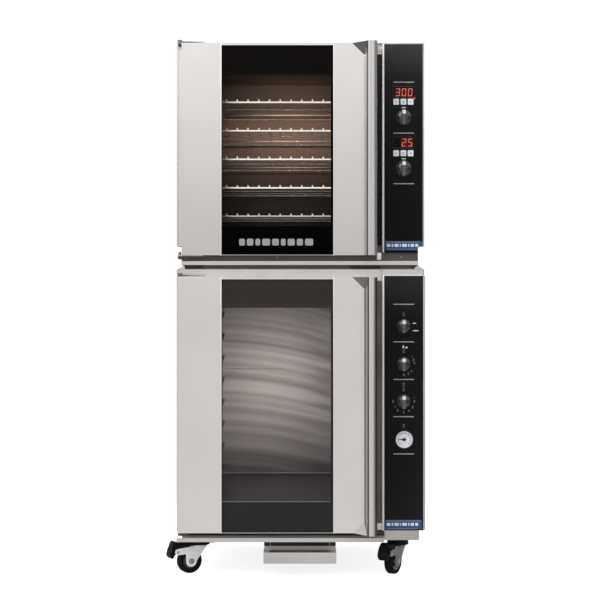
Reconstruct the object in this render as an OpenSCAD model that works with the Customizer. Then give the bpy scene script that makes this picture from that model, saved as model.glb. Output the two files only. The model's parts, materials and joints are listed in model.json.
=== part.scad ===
// Bakery stack: a five tray convection oven on top of an eight tray prover cabinet on casters.
// The origin is on the floor, under the centre of the cabinet. +X is the control side, -Y is
// the front and +Z is up. All sizes are in millimetres.

/* [Cabinet] */
// Width of both casings
cabinet_w = 735; // [725:1:760]
// Depth over handles and casings
overall_d = 810; // [790:5:830]
// Sheet metal thickness
sheet = 1.5; // [1:0.25:2]
// Width of the control column at the right
controls_w = 118.5; // [110:0.5:120]

/* [Heights] */
// Underside of the prover's base
base_z = 106; // [104:1:108]
// Top of the prover's base
prover_floor_z = 133.5; // [132:0.5:135]
// Top of the prover's casing
prover_top_z = 911; // [905:1:915]
// Height of the oven from its base to its top
oven_h = 660; // [655:1:665]

/* [Doors] */
// Distance from the face frame to the front of a door
door_stand = 45; // [42:1:50]
// Reach of a handle in front of its door
handle_reach = 65; // [55:1:70]
// Height of the black band above and below a window
window_band = 84; // [70:1:95]

/* [Inside the oven] */
// Number of wire racks
rack_count = 5; // [3:1:5]
// Height from one rack to the next
rack_pitch = 85; // [80:1:90]
// Distance between the wires of a rack
wire_pitch = 32; // [28:1:40]

/* [Inside the prover] */
// Number of tray runners on each side
runner_count = 8; // [4:1:8]
// Height from one runner to the next
runner_pitch = 72.6; // [60:0.2:74]

/* [Casters] */
// Wheel diameter
wheel_d = 75; // [70:1:78]
// Distance from the middle of the base to a swivel axis
caster_x = 299; // [288:1:302]
// Distance from a swivel axis back to its wheel's axle
caster_trail = 32; // [28:1:34]

/* [Hidden] */
$fn = 48;
side_x = cabinet_w / 2;
rear_y = overall_d / 2;
handle_y = -overall_d / 2;
door_y = handle_y + handle_reach;
front_y = door_y + door_stand;
cover_y = rear_y - 17;
cavity_rear_y = rear_y - 33;
fascia_x = side_x - controls_w;
fascia_t = 3;
fascia_y = front_y - fascia_t;
oven_base_z = prover_top_z + 12;
oven_floor_z = oven_base_z + 55;
oven_top_z = oven_base_z + oven_h;

// Doors: [left edge, bottom, top] of each one, and what both share
door_right_x = 226;
oven_door = [-350, oven_base_z + 29, oven_top_z - 5.5];
prover_door = [-363, prover_floor_z, prover_top_z - 23];
door_back_y = front_y - 7;
window_x0 = -232.5;
window_x1 = 97;
window_trim = 7;
glass_t = 6;
liner_wall = 6.8;
handle_x = 188;
handle_bar_w = 29;
hinge_x = -356.5;
hinge_y = front_y - 24;
hinge_pin_r = 4;
running_gap = 0.05;
part_gap = 0.3;

// Cavities: [left, right, floor, ceiling]
oven_cavity = [-312, 212, oven_base_z + 112, oven_top_z - 57.5];
prover_cavity = [-288, 210.5, prover_floor_z + 87.5, prover_top_z - 112.5];
oven_opening_x1 = 160;
cavity_front_y = front_y + 2;

// Oven controls
oven_knob_z = [oven_base_z + 439, oven_base_z + 287];
oven_knob_r = 24;
control_x = 306.6;
display_z = [oven_base_z + 513, oven_base_z + 364];
display_w = 62;
display_h = 33;
button_x = [284.2, 305.6, 327];
button_z = [oven_base_z + 484.6, oven_base_z + 331.8];
button_w = 17;
button_h = 18;
button_gap = 0.4;

// Prover controls
prover_knob_z = [742, 629.4, 518.1];
prover_knob_r = 21;
gauge_x = 308;
gauge_z = 405.4;
gauge_r = 27;
shaft_r = 3;

// Fans: axis position of each one
oven_fan_y = 40;
oven_fan_z = oven_cavity[2] + 245;
oven_fan_r = 95;
prover_fan_y = 60;
prover_fan_z = 480;
prover_fan_r = 75;
fan_shaft_r = 5;
blade_count = 10;

// Casters: [x, y, heading of the wheel's trail in degrees]
base_mid_x = -6;
casters = [
    [base_mid_x - caster_x, -230, 207],
    [base_mid_x + caster_x, -230, 240],
    [base_mid_x - caster_x, 337, 290],
    [base_mid_x + caster_x, 337, -30],
];
wheel_r = wheel_d / 2;
wheel_w = 25;
axle_r = 4;
kingpin_r = 6;
crown_z = 84.2;
fork_plate_t = 3;
fork_half_w = wheel_w / 2 + 2;
pedal_u = 76;
pedal_z = 67;

// Drip tray, hung under the prover's base
tray_x = -1.5;
tray_w = 215;
tray_d = 235;
tray_z = 42;
tray_h = 32.8;
tray_y = door_y + 10;

// ---- Shapes that several sub-parts share ----

// Box between two corners
module block(low, high) {
    translate(low) cube(high - low);
}

// Sheet metal box; a 1 in open_low or open_high leaves that side open
module folded_box(low, high, t, open_low = [0, 0, 0], open_high = [0, 0, 0]) {
    difference() {
        block(low, high);
        block(
            low + t * ([1, 1, 1] - open_low) - open_low,
            high - t * ([1, 1, 1] - open_high) + open_high
        );
    }
}

// Round rod from a start point along the axis "x", "y" or "z"
module rod(start, length, r, axis) {
    turn = axis == "x" ? [0, 90, 0] : axis == "y" ? [-90, 0, 0] : [0, 0, 0];
    translate(start) rotate(turn) cylinder(r = r, h = length);
}

// Wire with eight flats, as thick as a round one of radius r
module wire(start, length, r, axis) {
    rod(start, length, r, axis, $fn = 8);
}

// Hole through a front panel, along Y
module panel_hole(x, z, r) {
    translate([x, fascia_y - 1, z]) rotate([-90, 0, 0]) cylinder(r = r, h = fascia_t + sheet + 20);
}

// ---- Prover cabinet ----

// Chassis with the sill in front of it and the drip tray's hangers below
module prover_base() {
    sill_x0 = -side_x + 1.5;
    sill_y = door_y + 8;
    hanger_x = 88;
    recess_y = front_y + 10;
    color("silver") {
        difference() {
            block([-side_x + 14.5, recess_y, base_z], [side_x - 15, cover_y, prover_floor_z]);
            block(
                [-side_x + 16.5, recess_y + 2, base_z + 2],
                [side_x - 17, cover_y - 2, prover_floor_z + 1]
            );
        }
        folded_box(
            [fascia_x + 1, front_y, base_z],
            [side_x - 15, recess_y + 1, prover_floor_z],
            sheet, [0, 0, 0], [0, 1, 0]
        );
        block([sill_x0, sill_y, base_z], [fascia_x - 2, recess_y + 1, base_z + sheet]);
        block([sill_x0, sill_y, base_z], [fascia_x - 2, sill_y + sheet, base_z + 12]);
        for (side = [-1, 1]) {
            web = tray_x + side * hanger_x;
            block(
                [web - sheet / 2, front_y, tray_z + tray_h - 3],
                [web + sheet / 2, front_y + tray_d, base_z]
            );
            block(
                [min(web, web + side * 12), front_y, tray_z + tray_h - 3],
                [max(web, web + side * 12), front_y + tray_d, tray_z + tray_h - 1.8]
            );
        }
        block(
            [tray_x - tray_w / 2 + 2, front_y - 1, tray_z + tray_h + 2],
            [tray_x + tray_w / 2 - 2, front_y + 0.5, tray_z + tray_h + 14]
        );
    }
}

// Drip tray: an open pan with inward flanges that ride on the hangers
module drip_tray() {
    x0 = tray_x - tray_w / 2;
    x1 = tray_x + tray_w / 2;
    y1 = tray_y + tray_d;
    top = tray_z + tray_h;
    color("gainsboro") {
        difference() {
            folded_box([x0, tray_y, tray_z], [x1, y1, top], sheet, [0, 0, 0], [0, 0, 1]);
            block([x0 + 6, y1 - sheet - 1, top - 3.5], [x1 - 6, y1 + 1, top + 1]);
        }
        block([x0, tray_y, top - sheet], [x0 + 16, y1, top]);
        block([x1 - 16, tray_y, top - sheet], [x1, y1, top]);
    }
}

// Outer casing: top and both sides from one folded sheet, with a hem along the front
module casing(bottom, top) {
    hem = 5;
    folded_box(
        [-side_x, front_y, bottom], [side_x, rear_y, top], sheet, [0, 1, 1], [0, 1, 0]
    );
    block([-side_x, front_y, bottom], [-side_x + hem, front_y + sheet, top]);
}

module prover_casing() {
    color("lightgray") casing(prover_floor_z + part_gap, prover_top_z);
}

module oven_casing() {
    color("lightgray") casing(oven_floor_z, oven_top_z);
}

// One rear cover with two groups of louvre slots and a cable gland
module back_cover(bottom, top) {
    slot_w = 120;
    inner_x = side_x - sheet - part_gap;
    gland_x = 280;
    gland_z = bottom + 60;
    difference() {
        block([-inner_x, cover_y, bottom], [inner_x, cover_y + sheet, top]);
        for (side = [-1, 1], row = [0:7])
            block(
                [side * 200 - slot_w / 2, cover_y - 1, top - 90 - row * 16],
                [side * 200 + slot_w / 2, cover_y + sheet + 1, top - 84 - row * 16]
            );
        rod([gland_x, cover_y - 1, gland_z], sheet + 2, 8, "y");
    }
    difference() {
        union() {
            rod([gland_x, cover_y + sheet, gland_z], 5, 15, "y");
            rod([gland_x, cover_y + sheet + 5, gland_z], 9, 11, "y");
        }
        rod([gland_x, cover_y, gland_z], 20, 5, "y");
    }
}

module back_covers() {
    color("gray") {
        back_cover(prover_floor_z + 1, prover_top_z - sheet - part_gap);
        back_cover(oven_floor_z + 1, oven_top_z - sheet - part_gap);
    }
}

// Face frame behind a door, with the channel beside the handle and the control backing plate
module face_frame(bottom, top, opening) {
    channel_x0 = door_right_x + 2;
    channel_x1 = fascia_x - 6;
    channel_d = 18;
    inner_x = side_x - sheet - part_gap;
    left_x = -side_x + 5 + part_gap;
    difference() {
        union() {
            block([left_x, front_y, bottom], [channel_x0, front_y + sheet, top]);
            block([channel_x0 - sheet, front_y, bottom], [channel_x0, front_y + channel_d, top]);
            block(
                [channel_x0 - sheet, front_y + channel_d - sheet, bottom],
                [channel_x1 + sheet, front_y + channel_d, top]
            );
            block([channel_x1, front_y, bottom], [channel_x1 + sheet, front_y + channel_d, top]);
            block([channel_x1, front_y, bottom], [inner_x, front_y + sheet, top]);
        }
        block(
            [opening[0], front_y - 1, opening[2]],
            [opening[1], front_y + sheet + 1, opening[3]]
        );
    }
    block([fascia_x - 5, fascia_y, bottom + 1], [fascia_x - 0.5, front_y, top]);
}

module prover_front_frame() {
    color("darkgray") difference() {
        face_frame(prover_floor_z + 0.5, prover_top_z - sheet - part_gap, prover_cavity);
        for (z = prover_knob_z) panel_hole(control_x, z, 6);
        panel_hole(gauge_x, gauge_z, 10);
    }
}

module oven_front_frame() {
    opening = [oven_cavity[0], oven_opening_x1, oven_cavity[2], oven_cavity[3]];
    color("darkgray") difference() {
        face_frame(oven_floor_z + 0.5, oven_top_z - sheet - part_gap, opening);
        for (z = oven_knob_z) panel_hole(control_x, z, 6);
        for (x = button_x, z = button_z)
            block(
                [x - button_w / 2 - 1, fascia_y, z - button_h / 2 - 1],
                [x + button_w / 2 + 1, front_y + 3, z + button_h / 2 + 1]
            );
        for (z = display_z)
            block(
                [control_x - display_w / 2 - 1, fascia_y, z - display_h / 2 - 1],
                [control_x + display_w / 2 + 1, front_y + 3, z + display_h / 2 + 1]
            );
    }
}

// Cavity liner, open at the front; the control side has the fan's shaft hole
module cavity_liner(cavity, fan_y, fan_z) {
    difference() {
        folded_box(
            [cavity[0] - sheet, cavity_front_y, cavity[2] - sheet],
            [cavity[1] + sheet, cavity_rear_y, cavity[3] + sheet],
            sheet, [0, 1, 0], [0, 0, 0]
        );
        rod([cavity[1] - 1, fan_y, fan_z], sheet + 2, fan_shaft_r + 1, "x");
    }
}

module oven_liner() {
    color("saddlebrown") cavity_liner(oven_cavity, oven_fan_y, oven_fan_z);
}

// The prover's liner also has the blower box on its control side
module prover_liner() {
    box_x1 = prover_cavity[1] + sheet + 36;
    reach = prover_fan_r + 20;
    color("lightsteelblue") difference() {
        union() {
            cavity_liner(prover_cavity, prover_fan_y, prover_fan_z);
            folded_box(
                [prover_cavity[1] + sheet, prover_fan_y - reach, prover_fan_z - reach],
                [box_x1, prover_fan_y + reach, prover_fan_z + reach],
                sheet, [1, 0, 0], [0, 0, 0]
            );
        }
        rod([prover_cavity[1] - 1, prover_fan_y, prover_fan_z], sheet + 2, 45, "x");
        for (step = [0:4])
            block(
                [prover_cavity[1] - 1, prover_fan_y - 60, prover_fan_z + 55 + step * 7],
                [prover_cavity[1] + sheet + 1, prover_fan_y + 60, prover_fan_z + 58 + step * 7]
            );
        rod([box_x1 - sheet - 1, prover_fan_y, prover_fan_z], sheet + 2, fan_shaft_r + 1, "x");
    }
}

// Section of one tray runner: a flat ledge over a long slanted underside, of folded sheet
module runner_section(reach) {
    drop = 34;
    thin = 1.2;
    polygon([
        [0, 0],
        [reach, 0],
        [reach, -thin],
        [thin * 2, -drop],
        [0, -drop],
        [reach - thin * 4, -thin],
        [0, -thin],
    ]);
}

module prover_tray_runners() {
    reach = 32;
    top_z = 765;
    panel_y0 = cavity_front_y + 8;
    panel_y1 = cavity_rear_y - 24;
    color("silver") for (side = [0, 1]) {
        wall_x = prover_cavity[side];
        translate([wall_x, 0, 0]) mirror([side, 0, 0]) {
            block(
                [part_gap, panel_y0, top_z - (runner_count - 1) * runner_pitch - 34],
                [part_gap + 1.2, panel_y1, top_z]
            );
            for (level = [0:runner_count - 1])
                translate([1.6, panel_y1, top_z - level * runner_pitch])
                    rotate([90, 0, 0])
                        linear_extrude(panel_y1 - panel_y0) runner_section(reach);
        }
    }
}

// Rear air panel in two pans with a joint between them
module prover_rear_panel() {
    joint_z = 574;
    depth = 16;
    pan_x0 = prover_cavity[0] + 4;
    pan_x1 = prover_cavity[1] - 4;
    pan_y = cavity_rear_y - sheet - depth;
    low_z = prover_cavity[2] + 3;
    high_z = prover_cavity[3] - 3;
    color("lightsteelblue") {
        folded_box(
            [pan_x0, pan_y, low_z], [pan_x1, cavity_rear_y - sheet - part_gap, joint_z - 0.5],
            sheet, [0, 0, 0], [0, 1, 0]
        );
        folded_box(
            [pan_x0, pan_y, joint_z + 0.5], [pan_x1, cavity_rear_y - sheet - part_gap, high_z],
            sheet, [0, 0, 0], [0, 1, 0]
        );
    }
}

// Humidity pan under the cavity floor
pan_low = [-150, 60, 150];
pan_high = [150, 300, 205];
module water_pan() {
    color("silver")
        folded_box(pan_low, pan_high, sheet, [0, 0, 0], [0, 0, 1]);
    color("silver") for (x = [pan_low[0] + 10, pan_high[0] - 20])
        block([x, pan_low[1] + 20, base_z + 2], [x + 10, pan_high[1] - 20, pan_low[2]]);
}

// U-shaped tube, its legs along -X from the ends of a half ring, lying flat
module u_element(leg, r, tube_r) {
    rotate([0, 0, -90]) rotate_extrude(angle = 180) translate([r, 0]) circle(r = tube_r);
    for (side = [-1, 1]) rod([-leg, side * r, 0], leg, tube_r, "x");
}

// Elements of the humidity pan, the blower box and the oven's fan
module heating_elements() {
    ring_r = oven_fan_r + 14;
    tube_r = 4;
    color("dimgray") {
        translate([40, 180, 168]) u_element(150, 45, tube_r);
        translate([prover_cavity[1] + 18, prover_fan_y, prover_fan_z - 84])
            rotate([0, 0, 90]) u_element(60, 3.5 + tube_r, tube_r / 2);
        translate([(oven_opening_x1 + oven_cavity[1]) / 2 + 4, oven_fan_y, oven_fan_z])
            rotate([0, 90, 0])
                rotate_extrude() translate([ring_r, 0]) circle(r = tube_r);
    }
}

// Fan wheel: back plate, hub, shaft and a ring of blades; the axis is +X from the origin
module fan_wheel(r, w, shaft_l) {
    hub_r = 16;
    difference() {
        union() {
            rod([w - 2, 0, 0], 2, r, "x");
            rod([2, 0, 0], w - 2, hub_r, "x");
            for (step = [0:blade_count - 1])
                rotate([step * 360 / blade_count, 0, 0])
                    block([0, r * 0.55, -1], [w - 1, r - 2, 1]);
        }
        rod([-1, 0, 0], 6, 6, "x");
    }
    rod([w - 1, 0, 0], shaft_l + 1, fan_shaft_r, "x");
}

fan_w = 26;
oven_fan_x = oven_cavity[1] - 8 - fan_w;
prover_fan_x = prover_cavity[1] + sheet + 4;
oven_motor_x = oven_cavity[1] + sheet + 6;
prover_motor_x = prover_cavity[1] + sheet + 36 + 4;

module oven_fan() {
    color("gray") translate([oven_fan_x, oven_fan_y, oven_fan_z])
        fan_wheel(oven_fan_r, fan_w, oven_motor_x + 30 - oven_fan_x - fan_w);
}

module prover_fan() {
    color("gray") translate([prover_fan_x, prover_fan_y, prover_fan_z])
        fan_wheel(prover_fan_r, fan_w, prover_motor_x + 30 - prover_fan_x - fan_w);
}

// One motor with the bearing bore that its fan's shaft runs in
module fan_motor(r, length) {
    difference() {
        union() {
            rod([0, 0, 0], length, r, "x");
            block([-2, -r - 14, -r - 4], [2, r + 14, r + 4]);
        }
        rod([-3, 0, 0], 40, fan_shaft_r + running_gap, "x");
    }
}

module fan_motors() {
    color("slategray") {
        translate([oven_motor_x, oven_fan_y, oven_fan_z]) fan_motor(42, 100);
        translate([prover_motor_x, prover_fan_y, prover_fan_z]) fan_motor(32, 70);
    }
}

// ---- Controls ----

// Turning knob: skirt, raised grip bar and shaft; its axis is -Y from the panel
module knob(x, z, r) {
    skirt_t = 7;
    grip_t = 15;
    translate([x, fascia_y - part_gap, z]) {
        color("black") {
            rod([0, -skirt_t, 0], skirt_t, r, "y");
            intersection() {
                rod([0, -skirt_t - grip_t, 0], grip_t + 1, r - 1.5, "y");
                block([-7, -skirt_t - grip_t, -r], [7, -skirt_t + 1, r]);
            }
            rod([0, -1, 0], 26, shaft_r, "y");
        }
    }
}

module prover_mode_knob() { knob(control_x, prover_knob_z[0], prover_knob_r); }
module prover_heat_knob() { knob(control_x, prover_knob_z[1], prover_knob_r); }
module prover_humidity_knob() { knob(control_x, prover_knob_z[2], prover_knob_r); }
module oven_temperature_knob() { knob(control_x, oven_knob_z[0], oven_knob_r); }
module oven_timer_knob() { knob(control_x, oven_knob_z[1], oven_knob_r); }

// Round dial gauge: body, dial and bezel ring around the needle
module thermometer() {
    color("whitesmoke") translate([gauge_x, fascia_y, gauge_z]) {
        difference() {
            rod([0, -7, 0], 7, gauge_r, "y");
            rod([0, -8, 0], 6, gauge_r - 3, "y");
            rod([0, -8, 0], 10, 1.5 + running_gap, "y");
        }
        difference() {
            rod([0, 0, 0], 24, 9, "y");
            rod([0, -1, 0], 8, 1.5 + running_gap, "y");
        }
    }
}

// Needle on its spindle; at rest it points to the left
module thermometer_needle() {
    color("black") translate([gauge_x, fascia_y, gauge_z]) {
        block([-gauge_r + 8, -4.2, -0.8], [8, -3.4, 0.8]);
        rod([0, -4.6, 0], 1.4, 3.4, "y");
        rod([0, -4, 0], 8, 1.5, "y");
    }
}

// Black control panel of the prover
module prover_fascia() {
    color("black") difference() {
        block(
            [fascia_x, fascia_y, prover_floor_z + 2],
            [side_x - 2.5, front_y, prover_top_z - 20.5]
        );
        for (z = prover_knob_z) panel_hole(control_x, z, shaft_r + running_gap);
        panel_hole(gauge_x, gauge_z, 9 + part_gap);
    }
}

// Black control panel of the oven, with a notch for the base corner, and the strip beside it
module oven_fascia() {
    bottom = oven_base_z + 36.3;
    notch_x = side_x - 18.5;
    notch_z = bottom + 20.2;
    color("black") {
        difference() {
            block([fascia_x, fascia_y, bottom], [side_x - 4, front_y, oven_top_z - 4.2]);
            block([notch_x, fascia_y - 1, bottom - 1], [side_x, front_y + 1, notch_z]);
            for (z = oven_knob_z) panel_hole(control_x, z, shaft_r + running_gap);
            for (x = button_x, z = button_z)
                block(
                    [x - button_w / 2 - button_gap, fascia_y - 1, z - button_h / 2 - button_gap],
                    [x + button_w / 2 + button_gap, front_y + 1, z + button_h / 2 + button_gap]
                );
            for (z = display_z)
                block(
                    [control_x - display_w / 2, fascia_y - 1, z - display_h / 2],
                    [control_x + display_w / 2, front_y + 1, z + display_h / 2]
                );
        }
        block(
            [door_right_x + 2.3, front_y + 4, oven_floor_z + 1],
            [fascia_x - 6.3, front_y + 12, oven_top_z - 32.4]
        );
    }
}

// Both display modules with the board behind them
module oven_displays() {
    color("darkred") {
        for (z = display_z)
            block(
                [control_x - display_w / 2 + 0.2, fascia_y + 0.8, z - display_h / 2 + 0.2],
                [control_x + display_w / 2 - 0.2, front_y + 8, z + display_h / 2 - 0.2]
            );
        difference() {
            block(
                [control_x - 42, front_y + 8, button_z[1] - 120],
                [control_x + 42, front_y + 9.6, display_z[0] + 40]
            );
            for (z = oven_knob_z) rod([control_x, front_y, z], 20, 10, "y");
        }
    }
}

// Push button, free to travel inward
module button(column, row) {
    x = button_x[column];
    z = button_z[row];
    color("whitesmoke")
        block(
            [x - button_w / 2, fascia_y - 3, z - button_h / 2],
            [x + button_w / 2, front_y + 5.5, z + button_h / 2]
        );
}

module temperature_button_1() { button(0, 0); }
module temperature_button_2() { button(1, 0); }
module temperature_button_3() { button(2, 0); }
module timer_button_1() { button(0, 1); }
module timer_button_2() { button(1, 1); }
module timer_button_3() { button(2, 1); }

// ---- Doors ----

// Stainless outer pan of a door: two broad stiles, thin top and bottom rails and hinge arms
module door_frame(door) {
    left = door[0];
    bottom = door[1];
    top = door[2];
    arm_x1 = -288;
    arm_t = 2;
    bush_r = 7;
    color("gainsboro") difference() {
        union() {
            block([left, door_y, bottom], [door_right_x, door_back_y, top]);
            for (z = [bottom - arm_t, top]) {
                block([hinge_x, hinge_y - bush_r, z], [arm_x1, hinge_y + bush_r, z + arm_t]);
                rod([hinge_x, hinge_y, z], arm_t, bush_r, "z");
            }
        }
        block(
            [window_x0, door_y - 1, bottom + sheet],
            [window_x1, door_back_y + 1, top - window_trim]
        );
        block(
            [left + sheet, door_y + sheet, bottom + sheet],
            [window_x0 - sheet, door_back_y + 1, top - sheet]
        );
        block(
            [window_x1 + sheet, door_y + sheet, bottom + sheet],
            [door_right_x - sheet, door_back_y + 1, top - sheet]
        );
        for (z = [bottom - arm_t - 1, top - sheet - 1])
            rod([hinge_x, hinge_y, z], arm_t + sheet + 2, hinge_pin_r + running_gap, "z");
    }
}

// Black inner frame of a door: window surround and back plate
module door_liner(door) {
    bottom = door[1] + sheet;
    top = door[2] - window_trim;
    x0 = window_x0 + 0.1;
    x1 = window_x1 - 0.1;
    ring_y = door_y + 2 + glass_t;
    open_x0 = x0 + 1.2;
    open_x1 = x1 - liner_wall;
    open_z0 = bottom + window_band;
    open_z1 = top - window_band;
    color("black") difference() {
        union() {
            block([x0, ring_y, bottom], [x1, door_back_y + 0.5, top]);
            block(
                [door[0] + 2, door_back_y + 0.1, door[1] + 2],
                [door_right_x - 2, door_back_y + sheet - 0.1, door[2] - 2]
            );
        }
        block([open_x0, ring_y - 1, open_z0], [open_x1, door_back_y + 3, open_z1]);
        block(
            [x0 + 1.2, ring_y + 1.2, bottom + 1.2],
            [x1 - 1.2, door_back_y + 0.1, open_z0 - 1.2]
        );
        block(
            [x0 + 1.2, ring_y + 1.2, open_z1 + 1.2],
            [x1 - 1.2, door_back_y + 0.1, top - 1.2]
        );
    }
}

// Outer pane over the whole window and inner pane in the liner
module door_glass(door) {
    bottom = door[1] + sheet;
    top = door[2] - window_trim;
    gap = 0.1;
    color("lightblue", 0.35) {
        block(
            [window_x0 + gap, door_y + 2, bottom + gap],
            [window_x1 - gap, door_y + 2 + glass_t - gap, top - gap]
        );
        block(
            [window_x0 + 1.3 + gap, door_back_y - 7, bottom + window_band + gap],
            [window_x1 - 0.1 - liner_wall - gap, door_back_y - 2, top - window_band - gap]
        );
    }
}

// Corner gusset between a handle's web and the face of its door; way is 1 at the top, -1 below
module handle_gusset(z, way) {
    reach = 36;
    height = 37;
    bite = 2;
    far = 200;
    start = [handle_x - reach, door_y, 0];
    heel = [handle_x + bite, door_y, 0];
    tip = [handle_x + bite + 6, door_y - 58, 0];
    foot = heel - [0, 0, way * height];
    slope = cross(tip - start, foot - start);
    outward = slope * (slope * (start - heel) > 0 ? 1 : -1) / norm(slope);
    translate([0, 0, z]) intersection() {
        translate([0, 0, way > 0 ? -height : 0]) linear_extrude(height)
            polygon([[start[0], start[1]], [heel[0], heel[1]], [tip[0], tip[1]]]);
        translate(start) rotate(a = acos(outward[2]), v = cross([0, 0, 1], outward))
            translate([-far, -far, -far]) cube([2 * far, 2 * far, far]);
    }
}

// Points of an arc round a centre, from one angle to another
function arc(centre, r, from, to, steps) = [
    for (step = [0:steps])
        centre + r * [cos(from + (to - from) * step / steps), sin(from + (to - from) * step / steps)]
];

// Full-height handle: slanted web, flat front and a rounded nose that the fingers reach behind
module door_handle(bottom, top, bottom_gusset) {
    web_t = 4;
    bar_x0 = handle_x + 7;
    nose_r = 11;
    nose = [bar_x0 + handle_bar_w - nose_r, handle_y + nose_r];
    color("lightgray") {
        translate([0, 0, bottom]) linear_extrude(top - bottom)
            polygon(concat(
                [
                    [handle_x, door_y],
                    [handle_x + web_t, door_y],
                    [bar_x0 + web_t, handle_y + nose_r],
                    [bar_x0 + web_t, handle_y + web_t],
                ],
                arc(nose, nose_r - web_t, -90, 0, 8),
                [nose + [nose_r - web_t, 5], nose + [nose_r, 5]],
                arc(nose, nose_r, 0, -90, 8),
                [[bar_x0, handle_y]]
            ));
        handle_gusset(top, 1);
        if (bottom_gusset) handle_gusset(bottom, -1);
    }
}

module prover_door_frame() { door_frame(prover_door); }
module prover_door_liner() { door_liner(prover_door); }
module prover_door_glass() { door_glass(prover_door); }
module prover_door_handle() {
    door_handle(prover_door[1] + 0.5, prover_door[2] - 0.5, true);
}
module oven_door_frame() { door_frame(oven_door); }
module oven_door_liner() { door_liner(oven_door); }
module oven_door_glass() { door_glass(oven_door); }
module oven_door_handle() {
    door_handle(oven_door[1] + 0.5, oven_door[2] - 0.5, false);
}

// Bracket fixed to a face frame, with the pin that a door's hinge arm turns on
module hinge_bracket(z, way) {
    plate_t = 3;
    low = way > 0 ? z : z - plate_t;
    pin_l = 12;
    head_l = 5;
    block([-side_x + 6, hinge_y - 8, low], [hinge_x + 24, front_y - part_gap, low + plate_t]);
    block(
        [-side_x + 6, front_y - part_gap - 2, way > 0 ? low : low - 7],
        [hinge_x + 24, front_y - part_gap, way > 0 ? low + plate_t : low + plate_t]
    );
    rod([hinge_x, hinge_y, way > 0 ? low - pin_l : low - head_l], pin_l + head_l + plate_t,
        hinge_pin_r, "z");
    rod([hinge_x, hinge_y, way > 0 ? low + plate_t : low - head_l], head_l, 6.5, "z");
}

// All four hinge brackets, above and below each door
module door_hinges() {
    color("dimgray") for (door = [oven_door, prover_door]) {
        hinge_bracket(door[2] + 2.5, 1);
        hinge_bracket(door[1] - 2.5, -1);
    }
}

// Rectangular gasket on the face frame around one opening
module door_seal(opening, x1) {
    lip = 9;
    difference() {
        block(
            [opening[0] - lip, door_back_y + sheet + part_gap, opening[2] - lip],
            [x1 + lip, front_y, opening[3] + lip]
        );
        block(
            [opening[0], door_back_y, opening[2]],
            [x1, front_y + 1, opening[3]]
        );
    }
}

module door_seals() {
    color("black") {
        door_seal(oven_cavity, oven_opening_x1);
        door_seal(prover_cavity, prover_cavity[1]);
    }
}

// ---- Oven ----

// Frame that joins the cabinets: sloping side rails, recessed cross rails and four pads
module stacking_frame() {
    gap_h = oven_base_z - prover_top_z;
    rail_y0 = front_y + 4;
    rail_y1 = cover_y;
    pad_x = [[-344, -296], [150, 236]];
    color("gray") {
        for (side = [0, 1]) mirror([side, 0, 0])
            translate([0, rail_y1, prover_top_z]) rotate([90, 0, 0])
                linear_extrude(rail_y1 - rail_y0)
                    polygon([
                        [side_x - 3, 0],
                        [side_x - 18, gap_h],
                        [side_x - 30, gap_h],
                        [side_x - 30, 0],
                    ]);
        for (y = [front_y + 30, cover_y - 50])
            folded_box(
                [-side_x + 29, y, prover_top_z], [side_x - 29, y + 30, oven_base_z],
                2, [1, 0, 0], [1, 0, 0]
            );
        for (pad = pad_x)
            block(
                [pad[0], front_y + 6, prover_top_z], [pad[1], front_y + 31, oven_base_z]
            );
    }
}

// Stepped chassis of the oven: a lip below and a set-back band above it
module oven_base() {
    lip_h = 12;
    step_y = front_y + 12;
    x0 = -side_x + 14;
    x1 = side_x - 17.5;
    color("dimgray") difference() {
        union() {
            block([x0, front_y, oven_base_z], [x1, cover_y, oven_base_z + lip_h]);
            block([x0, step_y, oven_base_z + lip_h], [x1, cover_y, oven_floor_z]);
        }
        block(
            [x0 + sheet, front_y + sheet, oven_base_z + sheet],
            [x1 - sheet, cover_y - sheet, oven_base_z + lip_h - sheet]
        );
        block(
            [x0 + sheet, step_y + sheet, oven_base_z + lip_h - sheet - 1],
            [x1 - sheet, cover_y - sheet, oven_floor_z + 1]
        );
    }
}

rack_z0 = oven_base_z + 145;
rack_x0 = -299;
rack_x1 = 147;
rack_y0 = front_y + 15;
rack_y1 = cavity_rear_y - 32;
rail_r = 3.5;
wire_r = 2;

// One removable rack: rail all round, wires from front to back and cross rods below them
module wire_rack(z) {
    wire_lift = rail_r + wire_r - 1;
    width = rack_x1 - rack_x0;
    wire_count = floor((width - 30) / wire_pitch) + 1;
    first_x = (rack_x0 + rack_x1 - (wire_count - 1) * wire_pitch) / 2;
    cross_x0 = first_x + wire_pitch - 8;
    cross_l = (wire_count - 3) * wire_pitch + 16;
    for (y = [rack_y0, rack_y1]) wire([rack_x0 - rail_r, y, z], width + 2 * rail_r, rail_r, "x");
    for (x = [rack_x0, rack_x1]) wire([x, rack_y0, z], rack_y1 - rack_y0, rail_r, "y");
    for (step = [0:wire_count - 1])
        wire([first_x + step * wire_pitch, rack_y0 - 5, z + wire_lift],
            rack_y1 - rack_y0 + 10, wire_r, "y");
    for (part = [0.4, 0.72])
        wire([cross_x0, rack_y0 + part * (rack_y1 - rack_y0), z + wire_lift - wire_r - 2.5],
            cross_l, 3, "x");
}

module wire_racks() {
    color("lightgray") for (level = [0:rack_count - 1]) wire_rack(rack_z0 + level * rack_pitch);
}

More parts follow.
